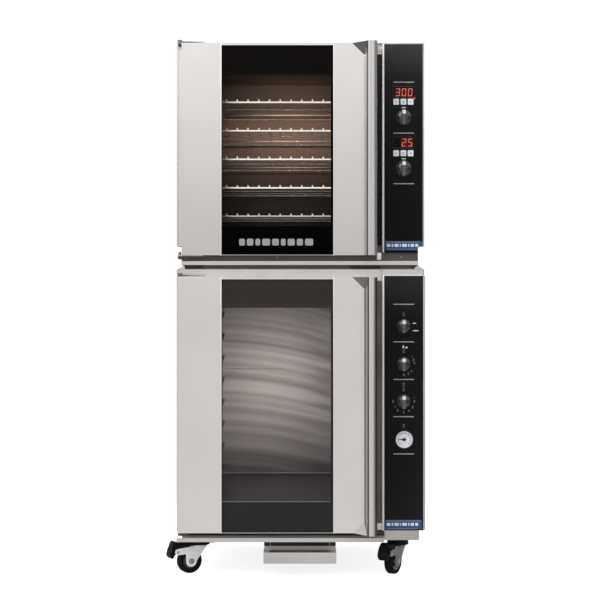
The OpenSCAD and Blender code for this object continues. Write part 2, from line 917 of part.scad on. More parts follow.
// Pair of side racks: uprights with one bent runner rod for each level
module oven_side_racks() {
    rod_r = 3;
    runner_y0 = cavity_front_y + 20;
    runner_l = rack_y1 - runner_y0;
    post_ys = [runner_y0 + 30, runner_y0 + runner_l / 2, runner_y0 + runner_l - 30];
    post_z0 = oven_cavity[2] + 4;
    post_l = oven_cavity[3] - oven_cavity[2] - 8;
    post_x = [oven_cavity[0] + rod_r + 0.5, oven_opening_x1 - rod_r - 0.5];
    runner_x = [rack_x0 + 0.5, rack_x1 - 0.5];
    color("silver") for (side = [0, 1]) {
        for (y = post_ys) wire([post_x[side], y, post_z0], post_l, rod_r, "z");
        for (level = [0:rack_count - 1]) {
            z = rack_z0 + level * rack_pitch - rail_r - rod_r - 0.2;
            low_x = min(post_x[side], runner_x[side]);
            wire([runner_x[side], runner_y0, z], runner_l, rod_r, "y");
            for (y = post_ys)
                wire([low_x, y, z], abs(post_x[side] - runner_x[side]), rod_r - 0.5, "x");
        }
    }
}

// Air baffle in front of the fan, with the inlet in the middle and slots at both ends
module oven_fan_baffle() {
    plate_x = oven_opening_x1 + 1;
    color("gray") difference() {
        block(
            [plate_x, cavity_front_y + 3, oven_cavity[2] + 2],
            [plate_x + sheet, cavity_rear_y - sheet - 2, oven_cavity[3] - 2]
        );
        rod([plate_x - 1, oven_fan_y, oven_fan_z], sheet + 2, oven_fan_r * 0.7, "x");
        for (y = [cavity_front_y + 25, cavity_rear_y - 60], step = [0:7])
            block(
                [plate_x - 1, y, oven_cavity[2] + 45 + step * 52],
                [plate_x + sheet + 1, y + 14, oven_cavity[2] + 80 + step * 52]
            );
    }
}

// ---- Casters ----

// Moves its children to one caster; +X then points from the swivel axis to the wheel
module at_caster(index) {
    spot = casters[index];
    translate([spot[0], spot[1], 0]) rotate([0, 0, spot[2]]) children();
}

// Four top plates with their swivel housings
module caster_plates() {
    plate_l = 94;
    plate_w = 72;
    plate_t = 3;
    housing_r = 32;
    color("black") for (spot = casters)
        translate([spot[0], spot[1], 0]) difference() {
            union() {
                block(
                    [-plate_l / 2, -plate_w / 2, base_z - plate_t],
                    [plate_l / 2, plate_w / 2, base_z]
                );
                rod([0, 0, crown_z + part_gap], base_z - plate_t - crown_z, housing_r, "z");
            }
            rod([0, 0, crown_z], 18, kingpin_r + running_gap, "z");
        }
}

// Outline of a fork's side: crown, leg to the axle and arm to the brake's pivot
module fork_outline() {
    leg_r = 17;
    arm_r = 9;
    polygon([
        [-18, crown_z - 2],
        [caster_trail - leg_r, wheel_r],
        [caster_trail + leg_r, wheel_r],
        [caster_trail + leg_r, pedal_z - arm_r + 1],
        [pedal_u, pedal_z - arm_r],
        [pedal_u, pedal_z + arm_r],
        [20, crown_z - 2],
    ]);
    translate([caster_trail, wheel_r]) circle(r = leg_r);
    translate([pedal_u, pedal_z]) circle(r = arm_r);
}

// Swivelling fork with its kingpin, axle and brake pivot pin
module caster_fork(index) {
    crown_r = 24;
    color("silver") at_caster(index) {
        for (side = [-1, 1])
            translate([0, side * (fork_half_w + fork_plate_t / 2) + fork_plate_t / 2, 0])
                rotate([90, 0, 0]) linear_extrude(fork_plate_t) fork_outline();
        rod([0, 0, crown_z - 5], 5, crown_r, "z");
        rod([0, 0, crown_z - 1], 17, kingpin_r, "z");
        rod([caster_trail, -fork_half_w - 6, wheel_r], 2 * fork_half_w + 12, axle_r, "y");
        rod([pedal_u, -fork_half_w - 4, pedal_z], 2 * fork_half_w + 8, 3, "y");
    }
}

// Wheel with a rounded tread and a bore that runs on the axle
module caster_wheel(index) {
    bevel = 5;
    color("dimgray") at_caster(index)
        translate([caster_trail, 0, wheel_r]) rotate([90, 0, 0])
            rotate_extrude($fn = 96)
                polygon([
                    [axle_r + running_gap, -wheel_w / 2],
                    [wheel_r - bevel, -wheel_w / 2],
                    [wheel_r - 1.5, -wheel_w / 2 + 2.5],
                    [wheel_r, -wheel_w / 2 + 8],
                    [wheel_r, wheel_w / 2 - 8],
                    [wheel_r - 1.5, wheel_w / 2 - 2.5],
                    [wheel_r - bevel, wheel_w / 2],
                    [axle_r + running_gap, wheel_w / 2],
                ]);
}

// Brake pedal: a rocker outside the fork's arms, with a hub between them
module caster_brake(index) {
    half_w = 20;
    hub_half_w = fork_half_w - 0.5;
    pin_r = 3;
    rim = pedal_u + 9.5;
    color("black") at_caster(index) difference() {
        union() {
            translate([0, half_w, 0]) rotate([90, 0, 0]) linear_extrude(2 * half_w)
                polygon([
                    [rim, 54],
                    [rim + 6, 47],
                    [rim + 13, 50],
                    [rim + 14.5, 58],
                    [rim + 9, 72],
                    [rim + 5, 92],
                    [rim + 1, 100],
                    [rim - 4, 100],
                    [rim - 4, 92],
                    [rim, 72],
                ]);
            translate([0, hub_half_w, 0]) rotate([90, 0, 0]) linear_extrude(2 * hub_half_w)
                polygon([
                    [pedal_u, pedal_z - 6],
                    [rim + 2, pedal_z - 11],
                    [rim + 2, 96],
                    [66, 93],
                    [56, 89],
                    [56, 84],
                    [66, 78],
                ]);
            rod([pedal_u, -hub_half_w, pedal_z + 0.5], 2 * hub_half_w, 6.5, "y");
        }
        rod([pedal_u, -half_w - 1, pedal_z], 2 * half_w + 2, pin_r + running_gap, "y");
    }
}

module front_left_fork() { caster_fork(0); }
module front_right_fork() { caster_fork(1); }
module rear_left_fork() { caster_fork(2); }
module rear_right_fork() { caster_fork(3); }
module front_left_wheel() { caster_wheel(0); }
module front_right_wheel() { caster_wheel(1); }
module rear_left_wheel() { caster_wheel(2); }
module rear_right_wheel() { caster_wheel(3); }
module front_left_brake() { caster_brake(0); }
module front_right_brake() { caster_brake(1); }
module rear_left_brake() { caster_brake(2); }
module rear_right_brake() { caster_brake(3); }

prover_base();
prover_casing();
back_covers();
prover_front_frame();
prover_liner();
prover_tray_runners();
prover_rear_panel();
water_pan();
heating_elements();
fan_motors();
prover_fan();
prover_fascia();
prover_mode_knob();
prover_heat_knob();
prover_humidity_knob();
thermometer();
thermometer_needle();
drip_tray();
prover_door_frame();
prover_door_glass();
prover_door_liner();
prover_door_handle();
caster_plates();
front_left_fork();
front_right_fork();
rear_left_fork();
rear_right_fork();
front_left_wheel();
front_right_wheel();
rear_left_wheel();
rear_right_wheel();
front_left_brake();
front_right_brake();
rear_left_brake();
rear_right_brake();
stacking_frame();
oven_base();
oven_casing();
oven_front_frame();
oven_liner();
oven_side_racks();
wire_racks();
oven_fan_baffle();
oven_fan();
oven_fascia();
oven_displays();
oven_temperature_knob();
oven_timer_knob();
temperature_button_1();
temperature_button_2();
temperature_button_3();
timer_button_1();
timer_button_2();
timer_button_3();
oven_door_frame();
oven_door_glass();
oven_door_liner();
oven_door_handle();
door_hinges();
door_seals();
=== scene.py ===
"""Looks of a convection oven stacked on a prover cabinet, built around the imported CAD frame."""
import json
import math

import bmesh
import bpy
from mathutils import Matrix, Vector


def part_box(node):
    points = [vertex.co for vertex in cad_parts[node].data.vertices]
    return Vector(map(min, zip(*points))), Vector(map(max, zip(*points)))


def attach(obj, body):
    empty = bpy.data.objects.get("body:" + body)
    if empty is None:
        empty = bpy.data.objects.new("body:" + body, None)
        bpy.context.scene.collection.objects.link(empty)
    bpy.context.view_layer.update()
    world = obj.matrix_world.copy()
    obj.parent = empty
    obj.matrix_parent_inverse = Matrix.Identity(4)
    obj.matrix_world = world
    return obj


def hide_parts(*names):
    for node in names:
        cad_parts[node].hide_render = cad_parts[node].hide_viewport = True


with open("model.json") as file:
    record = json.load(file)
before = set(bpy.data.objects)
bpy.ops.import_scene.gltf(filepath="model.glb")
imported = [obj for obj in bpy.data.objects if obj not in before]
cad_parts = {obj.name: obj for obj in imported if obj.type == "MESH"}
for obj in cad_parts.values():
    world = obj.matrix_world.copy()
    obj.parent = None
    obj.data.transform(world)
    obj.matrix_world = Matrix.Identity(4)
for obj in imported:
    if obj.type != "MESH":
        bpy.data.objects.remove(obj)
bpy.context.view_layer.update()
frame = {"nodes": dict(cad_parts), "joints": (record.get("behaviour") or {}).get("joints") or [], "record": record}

MM = 0.001
DEGREE = math.pi / 180
FORWARD = (0, -1, 0)
NODES = frame["nodes"]
JOINTS = {j["name"]: j for j in frame["joints"]}
SLOT_OF = {p["node"]: p["material_slot"] for p in frame["record"]["subparts"]}
SCENE = bpy.context.scene
MATS = {}

# Studio brightness by a direction's height (0 is level) and by its bearing (degrees, 0 is the front).
HEIGHT_STOPS = [
    (-0.5, 0.5), (-0.16, 0.60), (-0.04, 0.62), (0.0, 0.26), (0.05, 0.52), (0.11, 1.15), (0.5, 1.0),
]
AROUND_STOPS = [
    (-180, 0.9), (-150, 0.5), (-118, 0.3), (-100, 0.45), (-80, 0.4), (-62, 0.16), (-26, 0.25), (-15, 1.0),
    (15, 1.0), (24, 0.2), (60, 0.07), (84, 0.3), (98, 0.3), (118, 0.1), (150, 0.4), (180, 0.9),
]

# Places and sizes in millimetres.
WINDOW_X0, WINDOW_X1 = -233.5, 98.0
PROVER_BAND, LOW_BAND_RISE = 84.0, 5.2
RUNNER_LEVELS, RUNNER_PITCH = 8, 72.6
CHANNEL_X0, CHANNEL_X1 = 228.6, 242.4
PANEL_EDGE_X0, PANEL_EDGE_X1 = 244.0, 248.4
HALF_LINE = 31.0


# ---------------------------------------------------------------- camera, world and lights

def make_camera():
    data = bpy.data.cameras.new("camera")
    data.sensor_width = 36.0
    data.lens = 101.9
    data.shift_x = -0.0007
    data.shift_y = -0.0633
    cam = bpy.data.objects.new("camera", data)
    cam.location = (0.0, -5.34, 0.932)
    cam.rotation_euler = (math.radians(90), 0, 0)
    SCENE.collection.objects.link(cam)
    SCENE.camera = cam


def spread(tree, source, low, high, start=0.3, end=0.7):
    """Maps the range from start to end of a source onto low to high."""
    node = tree.nodes.new("ShaderNodeMapRange")
    node.inputs["From Min"].default_value = start
    node.inputs["From Max"].default_value = end
    node.inputs["To Min"].default_value = low
    node.inputs["To Max"].default_value = high
    tree.links.new(source, node.inputs["Value"])
    return node.outputs[0]


def color_ramp(tree, source, stops):
    """A colour ramp through (position, colour) stops."""
    ramp = tree.nodes.new("ShaderNodeValToRGB")
    elements = ramp.color_ramp.elements
    while len(elements) < len(stops):
        elements.new(0.5)
    for element, (position, color) in zip(elements, stops):
        element.position = position
        element.color = (*color, 1)
    tree.links.new(source, ramp.inputs[0])
    return ramp.outputs[0]


def ramp_along(tree, source, stops, unit=1.0):
    """A colour ramp through (place, colour) stops; the source is measured in the places' unit."""
    low, high = stops[0][0], stops[-1][0]
    along = spread(tree, source, 0.0, 1.0, low * unit, high * unit)
    return color_ramp(tree, along, [((spot - low) / (high - low), color) for spot, color in stops])


def ramp_between(tree, source, low, high, start=0.3, end=0.7):
    return color_ramp(tree, source, [(start, low), (end, high)])


def studio_tones(stops):
    """Slightly warm greys of the studio's (place, brightness) stops."""
    return [(spot, (value, value * 0.985, value * 0.975)) for spot, value in stops]


def product_of(tree, first, second):
    """Two colours multiplied."""
    mix = tree.nodes.new("ShaderNodeMix")
    mix.data_type = "RGBA"
    mix.blend_type = "MULTIPLY"
    mix.inputs["Factor"].default_value = 1.0
    tree.links.new(first, mix.inputs["A"])
    tree.links.new(second, mix.inputs["B"])
    return mix.outputs["Result"]


def make_world():
    """White for the camera; for light and gloss a studio, bright in front and behind, darker at the sides."""
    world = bpy.data.worlds.new("studio")
    world.use_nodes = True
    tree = world.node_tree
    nodes, links = tree.nodes, tree.links
    nodes.clear()
    out = nodes.new("ShaderNodeOutputWorld")
    coord = nodes.new("ShaderNodeTexCoord")
    split = nodes.new("ShaderNodeSeparateXYZ")
    links.new(coord.outputs["Generated"], split.inputs[0])
    height = ramp_along(tree, split.outputs["Z"], studio_tones(HEIGHT_STOPS))

    flip = nodes.new("ShaderNodeMath")
    flip.operation = "MULTIPLY"
    flip.inputs[1].default_value = -1.0
    links.new(split.outputs["Y"], flip.inputs[0])
    turn = nodes.new("ShaderNodeMath")
    turn.operation = "ARCTAN2"
    links.new(split.outputs["X"], turn.inputs[0])
    links.new(flip.outputs[0], turn.inputs[1])
    around = ramp_along(tree, turn.outputs[0], studio_tones(AROUND_STOPS), DEGREE)

    steep = nodes.new("ShaderNodeMath")
    steep.operation = "ABSOLUTE"
    links.new(split.outputs["Z"], steep.inputs[0])
    even = nodes.new("ShaderNodeMix")
    even.data_type = "RGBA"
    even.inputs["B"].default_value = (0.8, 0.8, 0.8, 1)
    links.new(spread(tree, steep.outputs[0], 0.0, 1.0, 0.15, 0.45), even.inputs["Factor"])
    links.new(around, even.inputs["A"])

    soft = nodes.new("ShaderNodeBackground")
    soft.inputs["Strength"].default_value = 1.15
    white = nodes.new("ShaderNodeBackground")
    white.inputs["Color"].default_value = (1, 1, 1, 1)
    white.inputs["Strength"].default_value = 1.05
    path = nodes.new("ShaderNodeLightPath")
    mix = nodes.new("ShaderNodeMixShader")
    links.new(product_of(tree, height, even.outputs["Result"]), soft.inputs["Color"])
    links.new(path.outputs["Is Camera Ray"], mix.inputs[0])
    links.new(soft.outputs[0], mix.inputs[1])
    links.new(white.outputs[0], mix.inputs[2])
    links.new(mix.outputs[0], out.inputs[0])
    SCENE.world = world


def add_light(name, kind, spot, aim, power, color):
    """A light aimed at a point; neither the camera nor gloss sees it unless the caller turns that on."""
    data = bpy.data.lights.new(name, kind)
    data.energy = power
    data.color = color
    obj = bpy.data.objects.new(name, data)
    obj.location = spot
    obj.rotation_euler = (Vector(aim) - Vector(spot)).to_track_quat("-Z", "Y").to_euler()
    obj.visible_camera = False
    obj.visible_glossy = False
    SCENE.collection.objects.link(obj)
    return obj


def area_light(name, spot, aim, size, power, color=(1, 1, 1), glossy=False):
    obj = add_light(name, "AREA", spot, aim, power, color)
    obj.data.shape = "RECTANGLE"
    obj.data.size, obj.data.size_y = size
    obj.visible_glossy = glossy


def spot_light(name, spot, aim, angle, power, radius, color):
    data = add_light(name, "SPOT", spot, aim, power, color).data
    data.spot_size = math.radians(angle)
    data.spot_blend = 1.0
    data.shadow_soft_size = radius


def make_lights():
    area_light("key", (-2.2, -3.4, 3.4), (0, 0, 0.9), (2.4, 2.4), 70, glossy=True)
    area_light("fill", (2.8, -2.6, 1.9), (0, 0, 0.8), (1.8, 2.2), 18)
    area_light("back", (0.4, 3.6, 2.8), (0, 0, 1.0), (2.4, 2.0), 60)
    area_light("low_fill", (-1.7, -2.4, 0.22), (-0.30, -0.22, 0.08), (0.5, 0.3), 16)
    rack_spot, rack_aim = (-0.05, -0.2975, 1.30), (-0.05, 0.4, 1.30)
    area_light("rack_light", rack_spot, rack_aim, (0.32, 0.46), 0.8, (1.0, 0.96, 0.92), True)
    oven_spot, oven_aim = (-0.035, -0.045, 1.366), (-0.03, 0.36, 1.33)
    spot_light("oven_glow", oven_spot, oven_aim, 88, 34.0, 0.05, (1.0, 0.79, 0.64))
    prover_spot, prover_aim = (-0.09, -0.22, 0.52), (-0.10, 0.36, 0.50)
    spot_light("prover_glow", prover_spot, prover_aim, 84, 19.5, 0.10, (1.0, 0.945, 0.92))


# ---------------------------------------------------------------- materials

def new_material(name):
    """An empty material, kept in MATS by its name; gives its node tree and its shader."""
    mat = bpy.data.materials.new(name)
    mat.use_nodes = True
    MATS[name] = mat
    return mat.node_tree, mat.node_tree.nodes["Principled BSDF"]


def noise(tree, scale, stretch=(1, 1, 1), detail=3.0, rough=0.5):
    """A noise texture in the object's own space."""
    coord = tree.nodes.new("ShaderNodeTexCoord")
    mapping = tree.nodes.new("ShaderNodeMapping")
    mapping.inputs["Scale"].default_value = stretch
    texture = tree.nodes.new("ShaderNodeTexNoise")
    texture.inputs["Scale"].default_value = scale
    texture.inputs["Detail"].default_value = detail
    texture.inputs["Roughness"].default_value = rough
    tree.links.new(coord.outputs["Object"], mapping.inputs["Vector"])
    tree.links.new(mapping.outputs["Vector"], texture.inputs["Vector"])
    return texture.outputs[0]


def clouded(tree, shader, source, color, shade, start=0.3, end=0.7):
    """A base colour that drifts by a share around its middle."""
    low = tuple(c * (1 - shade) for c in color)
    high = tuple(min(1.0, c * (1 + shade)) for c in color)
    tree.links.new(ramp_between(tree, source, low, high, start, end), shader.inputs["Base Color"])


def bump(tree, shader, source, strength, distance):
    node = tree.nodes.new("ShaderNodeBump")
    node.inputs["Strength"].default_value = strength
    node.inputs["Distance"].default_value = distance
    tree.links.new(source, node.inputs["Height"])
    tree.links.new(node.outputs[0], shader.inputs["Normal"])


def brushed_metal(name, color, grain, rough=(0.24, 0.36), depth=0.12, shade=0.06, metallic=1.0, cloud=6.0):
    """Rolled sheet steel: fine grain along one axis, a soft cloudy variation and uneven gloss."""
    tree, shader = new_material(name)
    shader.inputs["Metallic"].default_value = metallic
    streaks = noise(tree, 1.0, grain, 4.0, 0.65)
    clouded(tree, shader, noise(tree, cloud, (1, 1, 1), 2.0, 0.4), color, shade, 0.32, 0.68)
    tree.links.new(spread(tree, streaks, *rough), shader.inputs["Roughness"])
    bump(tree, shader, streaks, depth, 0.0004)


def coated(name, color, rough, shade=0.15, specks=900.0, depth=0.08, coat=0.0, specular=0.5):
    """Paint, plastic or rubber: fine orange peel, slight colour drift and uneven gloss."""
    tree, shader = new_material(name)
    shader.inputs["Metallic"].default_value = 0.0
    shader.inputs["Specular IOR Level"].default_value = specular
    shader.inputs["Coat Weight"].default_value = coat
    peel = noise(tree, specks, detail=2.0)
    clouds = noise(tree, 9.0, detail=4.0, rough=0.6)
    clouded(tree, shader, clouds, color, shade)
    tree.links.new(spread(tree, clouds, *rough), shader.inputs["Roughness"])
    bump(tree, shader, peel, depth, 0.0003)


def graded(name, axis, stops, rough, metallic=0.0, specular=0.5, depth=0.03, grain=(700, 300, 700)):
    """A finish whose tone changes along one axis: stops are (place in millimetres, colour)."""
    tree, shader = new_material(name)
    coord = tree.nodes.new("ShaderNodeTexCoord")
    split = tree.nodes.new("ShaderNodeSeparateXYZ")
    tree.links.new(coord.outputs["Object"], split.inputs[0])
    tree.links.new(ramp_along(tree, split.outputs[axis], stops, MM), shader.inputs["Base Color"])
    shader.inputs["Metallic"].default_value = metallic
    shader.inputs["Specular IOR Level"].default_value = specular
    streaks = noise(tree, 1.0, grain, 4.0, 0.6)
    tree.links.new(spread(tree, streaks, *rough), shader.inputs["Roughness"])
    bump(tree, shader, streaks, depth, 0.0003)


def grey(value, warm=0.0):
    return (value, value * (1 - warm), value * (1 - 1.3 * warm))


def glow(name, color, emission, strength, rough=0.25, specular=0.5):
    """A lit surface with a faintly uneven colour."""
    tree, shader = new_material(name)
    low = tuple(c * 0.8 for c in color)
    clouds = noise(tree, 160.0, detail=2.0)
    tree.links.new(ramp_between(tree, clouds, low, color), shader.inputs["Base Color"])
    shader.inputs["Roughness"].default_value = rough
    shader.inputs["Specular IOR Level"].default_value = specular
    shader.inputs["Emission Color"].default_value = (*emission, 1)
    shader.inputs["Emission Strength"].default_value = strength


def tinted_glass(name, tint, alpha, specular):
    """Clear pane: mostly see-through, a faint tint, smears in the gloss."""
    tree, shader = new_material(name)
    low = tuple(c * 0.8 for c in tint)
    smears = noise(tree, 14.0, (1, 1, 2.5))
    tree.links.new(ramp_between(tree, smears, low, tint), shader.inputs["Base Color"])
    tree.links.new(spread(tree, smears, 0.02, 0.07), shader.inputs["Roughness"])
    shader.inputs["Alpha"].default_value = alpha
    shader.inputs["Specular IOR Level"].default_value = specular


def swirled_panel(name):
    """Ground stainless panel: soft streaks bent along arcs across its width, with painted shade that darkens it
    near the floor.
    """
    tree, shader = new_material(name)
    coord = tree.nodes.new("ShaderNodeTexCoord")
    split = tree.nodes.new("ShaderNodeSeparateXYZ")
    tree.links.new(coord.outputs["Object"], split.inputs[0])
    across = spread(tree, split.outputs["X"], 0.0, 0.62, -0.29, 0.71)
    fall = tree.nodes.new("ShaderNodeMath")
    fall.operation = "MULTIPLY_ADD"
    tree.links.new(across, fall.inputs[0])
    tree.links.new(across, fall.inputs[1])
    tree.links.new(split.outputs["Z"], fall.inputs[2])
    arcs = tree.nodes.new("ShaderNodeCombineXYZ")
    tree.links.new(fall.outputs[0], arcs.inputs["Z"])
    tree.links.new(spread(tree, split.outputs["X"], 0.0, 0.09, 0.0, 1.0), arcs.inputs["X"])
    streaks = tree.nodes.new("ShaderNodeTexNoise")
    streaks.inputs["Scale"].default_value = 26.0
    streaks.inputs["Detail"].default_value = 2.6
    streaks.inputs["Roughness"].default_value = 0.42
    tree.links.new(arcs.outputs[0], streaks.inputs["Vector"])
    dark, light = (0.35, 0.315, 0.30), (0.68, 0.64, 0.625)
    polish = ramp_between(tree, streaks.outputs["Fac"], dark, light, 0.38, 0.62)
    # Painted shade: the panel darkens towards the floor.
    rise = spread(tree, split.outputs["Z"], 0.0, 1.0, 0.21, 0.43)
    floor_shade = ramp_between(tree, rise, (0.22, 0.23, 0.25), (1, 1, 1), 0.0, 1.0)
    tree.links.new(product_of(tree, polish, floor_shade), shader.inputs["Base Color"])
    grain = noise(tree, 1.0, (12, 12, 900), 4.0, 0.6)
    tree.links.new(spread(tree, grain, 0.30, 0.42), shader.inputs["Roughness"])
    shader.inputs["Metallic"].default_value = 0.5
    bump(tree, shader, grain, 0.12, 0.0004)


ALONG_X = (9, 300, 900)
ALONG_Y = (700, 7, 700)
ALONG_Z = (900, 300, 7)


def make_steels():
    """Sheet steels, castings, wires and screws."""
    soft = (0.20, 0.26)
    brushed_metal("stainless", (0.74, 0.725, 0.71), ALONG_X)
    brushed_metal("oven_door_steel", (0.742, 0.735, 0.735), ALONG_Z, soft, 0.012, 0.02)
    brushed_metal("prover_door_steel", (0.90, 0.882, 0.882), ALONG_Z, soft, 0.012, 0.02)
    # Dark steel: painted shade on the oven base's upstand under the door.
    brushed_metal("dark_steel", (0.13, 0.123, 0.12), ALONG_X, (0.35, 0.5))
    # Darker copy of the handle steel: painted shade on the handles' end gussets.
    brushed_metal("gusset_painted_shade", (0.34, 0.33, 0.33), ALONG_Z, (0.3, 0.45))
    # Darkened hinge steel: painted shade under the hinge arms, on the hinges and their leaves.
    brushed_metal("hinge_steel_painted_shade", (0.16, 0.15, 0.15), (90, 90, 90), (0.3, 0.45))
    # Near-white copy of the stainless: painted highlights on window and bezel edges, the channel's top corner and
    # the door catch.
    brushed_metal("trim_steel_painted_highlight", (0.97, 0.955, 0.95), ALONG_Z, (0.34, 0.46), 0.02, 0.02, 0.55)
    brushed_metal("edge_steel", (0.46, 0.45, 0.455), ALONG_X, (0.3, 0.42), 0.02, 0.04, 0.4)
    # Near-black runner steel: painted shade on the prover's tray runners and their gussets.
    brushed_metal("runner_steel_painted_shade", (0.05, 0.045, 0.045), ALONG_Y, (0.4, 0.55))
    # Near-black steel: painted shade on the upward faces of the prover's liner.
    brushed_metal("prover_floor_painted_shade", (0.050, 0.050, 0.055), ALONG_X, (0.35, 0.5))
    brushed_metal("liner_steel", (0.60, 0.57, 0.56), ALONG_X, (0.32, 0.46), 0.1, 0.1)
    brushed_metal("galvanised", (0.62, 0.63, 0.64), (90, 90, 90), (0.38, 0.58), 0.1, 0.07, 0.85, 110.0)
    brushed_metal("chrome", (0.90, 0.88, 0.86), (260, 260, 260), (0.26, 0.4), 0.05, 0.04, 0.7)
    brushed_metal("handle_steel", (0.76, 0.745, 0.74), ALONG_Z, (0.2, 0.3), 0.08, 0.04)
    brushed_metal("zinc", (0.93, 0.93, 0.98), (70, 70, 70), (0.3, 0.46), 0.05, 0.05, 0.3, 40.0)
    # Darker copy of the zinc: painted shade on the front right caster's fork.
    brushed_metal("zinc_painted_shade", (0.22, 0.22, 0.22), (70, 70, 70), (0.3, 0.46), 0.05, 0.2, 0.6, 40.0)
    # Two copies of the rack wire: the lighter one paints highlight on the racks' fronts, the darker one paints
    # shade on the rest.
    brushed_metal("wire_painted_highlight", (0.90, 0.87, 0.84), (260, 260, 260), (0.3, 0.4), 0.03, 0.02, 0.2)
    brushed_metal("wire_painted_shade", (0.36, 0.335, 0.32), (260, 260, 260), (0.2, 0.3), 0.03, 0.06, 0.8)
    brushed_metal("dark_bolt", (0.40, 0.39, 0.40), (120, 120, 120), (0.25, 0.4), 0.1, 0.3, 0.8, 300.0)
    brushed_metal("screw_steel", (0.70, 0.69, 0.68), (120, 120, 120), (0.25, 0.4))
    swirled_panel("rear_panel")


def make_graded_finishes():
    """Finishes whose tone follows the height or the width: (place in millimetres, colour) stops."""
    # Prover base steel that darkens towards the right: painted shade.
    graded("base_steel_shaded_right", "X", [
        (-366, (0.74, 0.725, 0.71)), (120, (0.73, 0.715, 0.70)),
        (240, (0.58, 0.565, 0.555)), (353, (0.54, 0.525, 0.515)),
    ], (0.24, 0.36), metallic=1.0, depth=0.12, grain=ALONG_X)
    # Oven enamel with a painted pool of light: near-black low down, brightest around mid height, darker again at
    # the top.
    graded("enamel", "Z", [
        (1035, (0.004, 0.003, 0.003)), (1150, (0.0075, 0.0055, 0.005)), (1215, (0.024, 0.017, 0.014)),
        (1290, (0.066, 0.048, 0.040)), (1350, (0.072, 0.053, 0.044)), (1420, (0.052, 0.039, 0.032)),
        (1527, (0.038, 0.029, 0.024)),
    ], (0.3, 0.5), specular=0.4, depth=0.08)
    # Black fascia with painted reflections: lighter at the top of each fascia and a little at the bottom.
    graded("black_panel", "Z", [
        (130, grey(0.011)), (330, grey(0.006)), (760, grey(0.0055)), (893, grey(0.024)),
        (960, grey(0.0042)), (1350, grey(0.0045)), (1480, grey(0.011)), (1585, grey(0.045)),
    ], (0.14, 0.22), specular=0.10, depth=0.01)
    # Painted reflections on the doors' black bands: the prover's band is lighter and warmer at the top.
    graded("prover_band", "Z", [
        (130, (0.006, 0.006, 0.009)), (250, (0.007, 0.007, 0.010)),
        (780, (0.030, 0.022, 0.020)), (890, (0.026, 0.020, 0.019)),
    ], (0.3, 0.45), specular=0.3)
    # The oven's band is near-black low down and lighter and warmer at the top: a painted reflection.
    graded("oven_band", "Z", [
        (950, grey(0.0003)), (1300, grey(0.002)), (1500, grey(0.0085, 0.15)), (1578, grey(0.009, 0.1)),
    ], (0.35, 0.5), specular=0.02, depth=0.02)
    # Painted shade in the recess under the prover's door: near-black with a slightly lighter band, above a light
    # lip.
    graded("sill_painted_shade", "Z", [
        (106, grey(0.4)), (117.5, grey(0.4)), (118, grey(0.02, 0.2)), (123, grey(0.03, 0.2)),
        (125, grey(0.09, 0.06)), (128.5, grey(0.08, 0.06)),
        (130.5, grey(0.012, 0.2)), (134, grey(0.010, 0.2)),
    ], (0.4, 0.5), metallic=0.5)
    # Painted reflections and shade on the handles: light and dark stripes across each handle's width, as (place x,
    # tone).
    oven_reflection_stops = [
        (187.5, 0.50), (189.5, 0.72), (192.0, 0.67), (193.4, 0.06), (196.4, 0.05), (197.6, 0.71),
        (202.6, 0.71), (204.2, 0.42), (206.0, 0.65), (217.5, 0.62), (220.5, 0.60), (223.0, 0.56),
    ]
    prover_reflection_stops = [
        (187.5, 0.30), (189.2, 0.10), (191.6, 0.08), (193.0, 0.75), (194.4, 0.70), (195.2, 0.06),
        (198.6, 0.05), (199.8, 0.74), (211.0, 0.70), (214.5, 0.46), (218.0, 0.34), (219.6, 0.12),
        (223.0, 0.09),
    ]
    for name, bands in (("oven_handle_painted_reflections", oven_reflection_stops), ("prover_handle_painted_reflections", prover_reflection_stops)):
        stops = [(place_x, grey(tone)) for place_x, tone in bands]
        graded(name, "X", stops, (0.24, 0.34), metallic=0.9, grain=ALONG_Z)


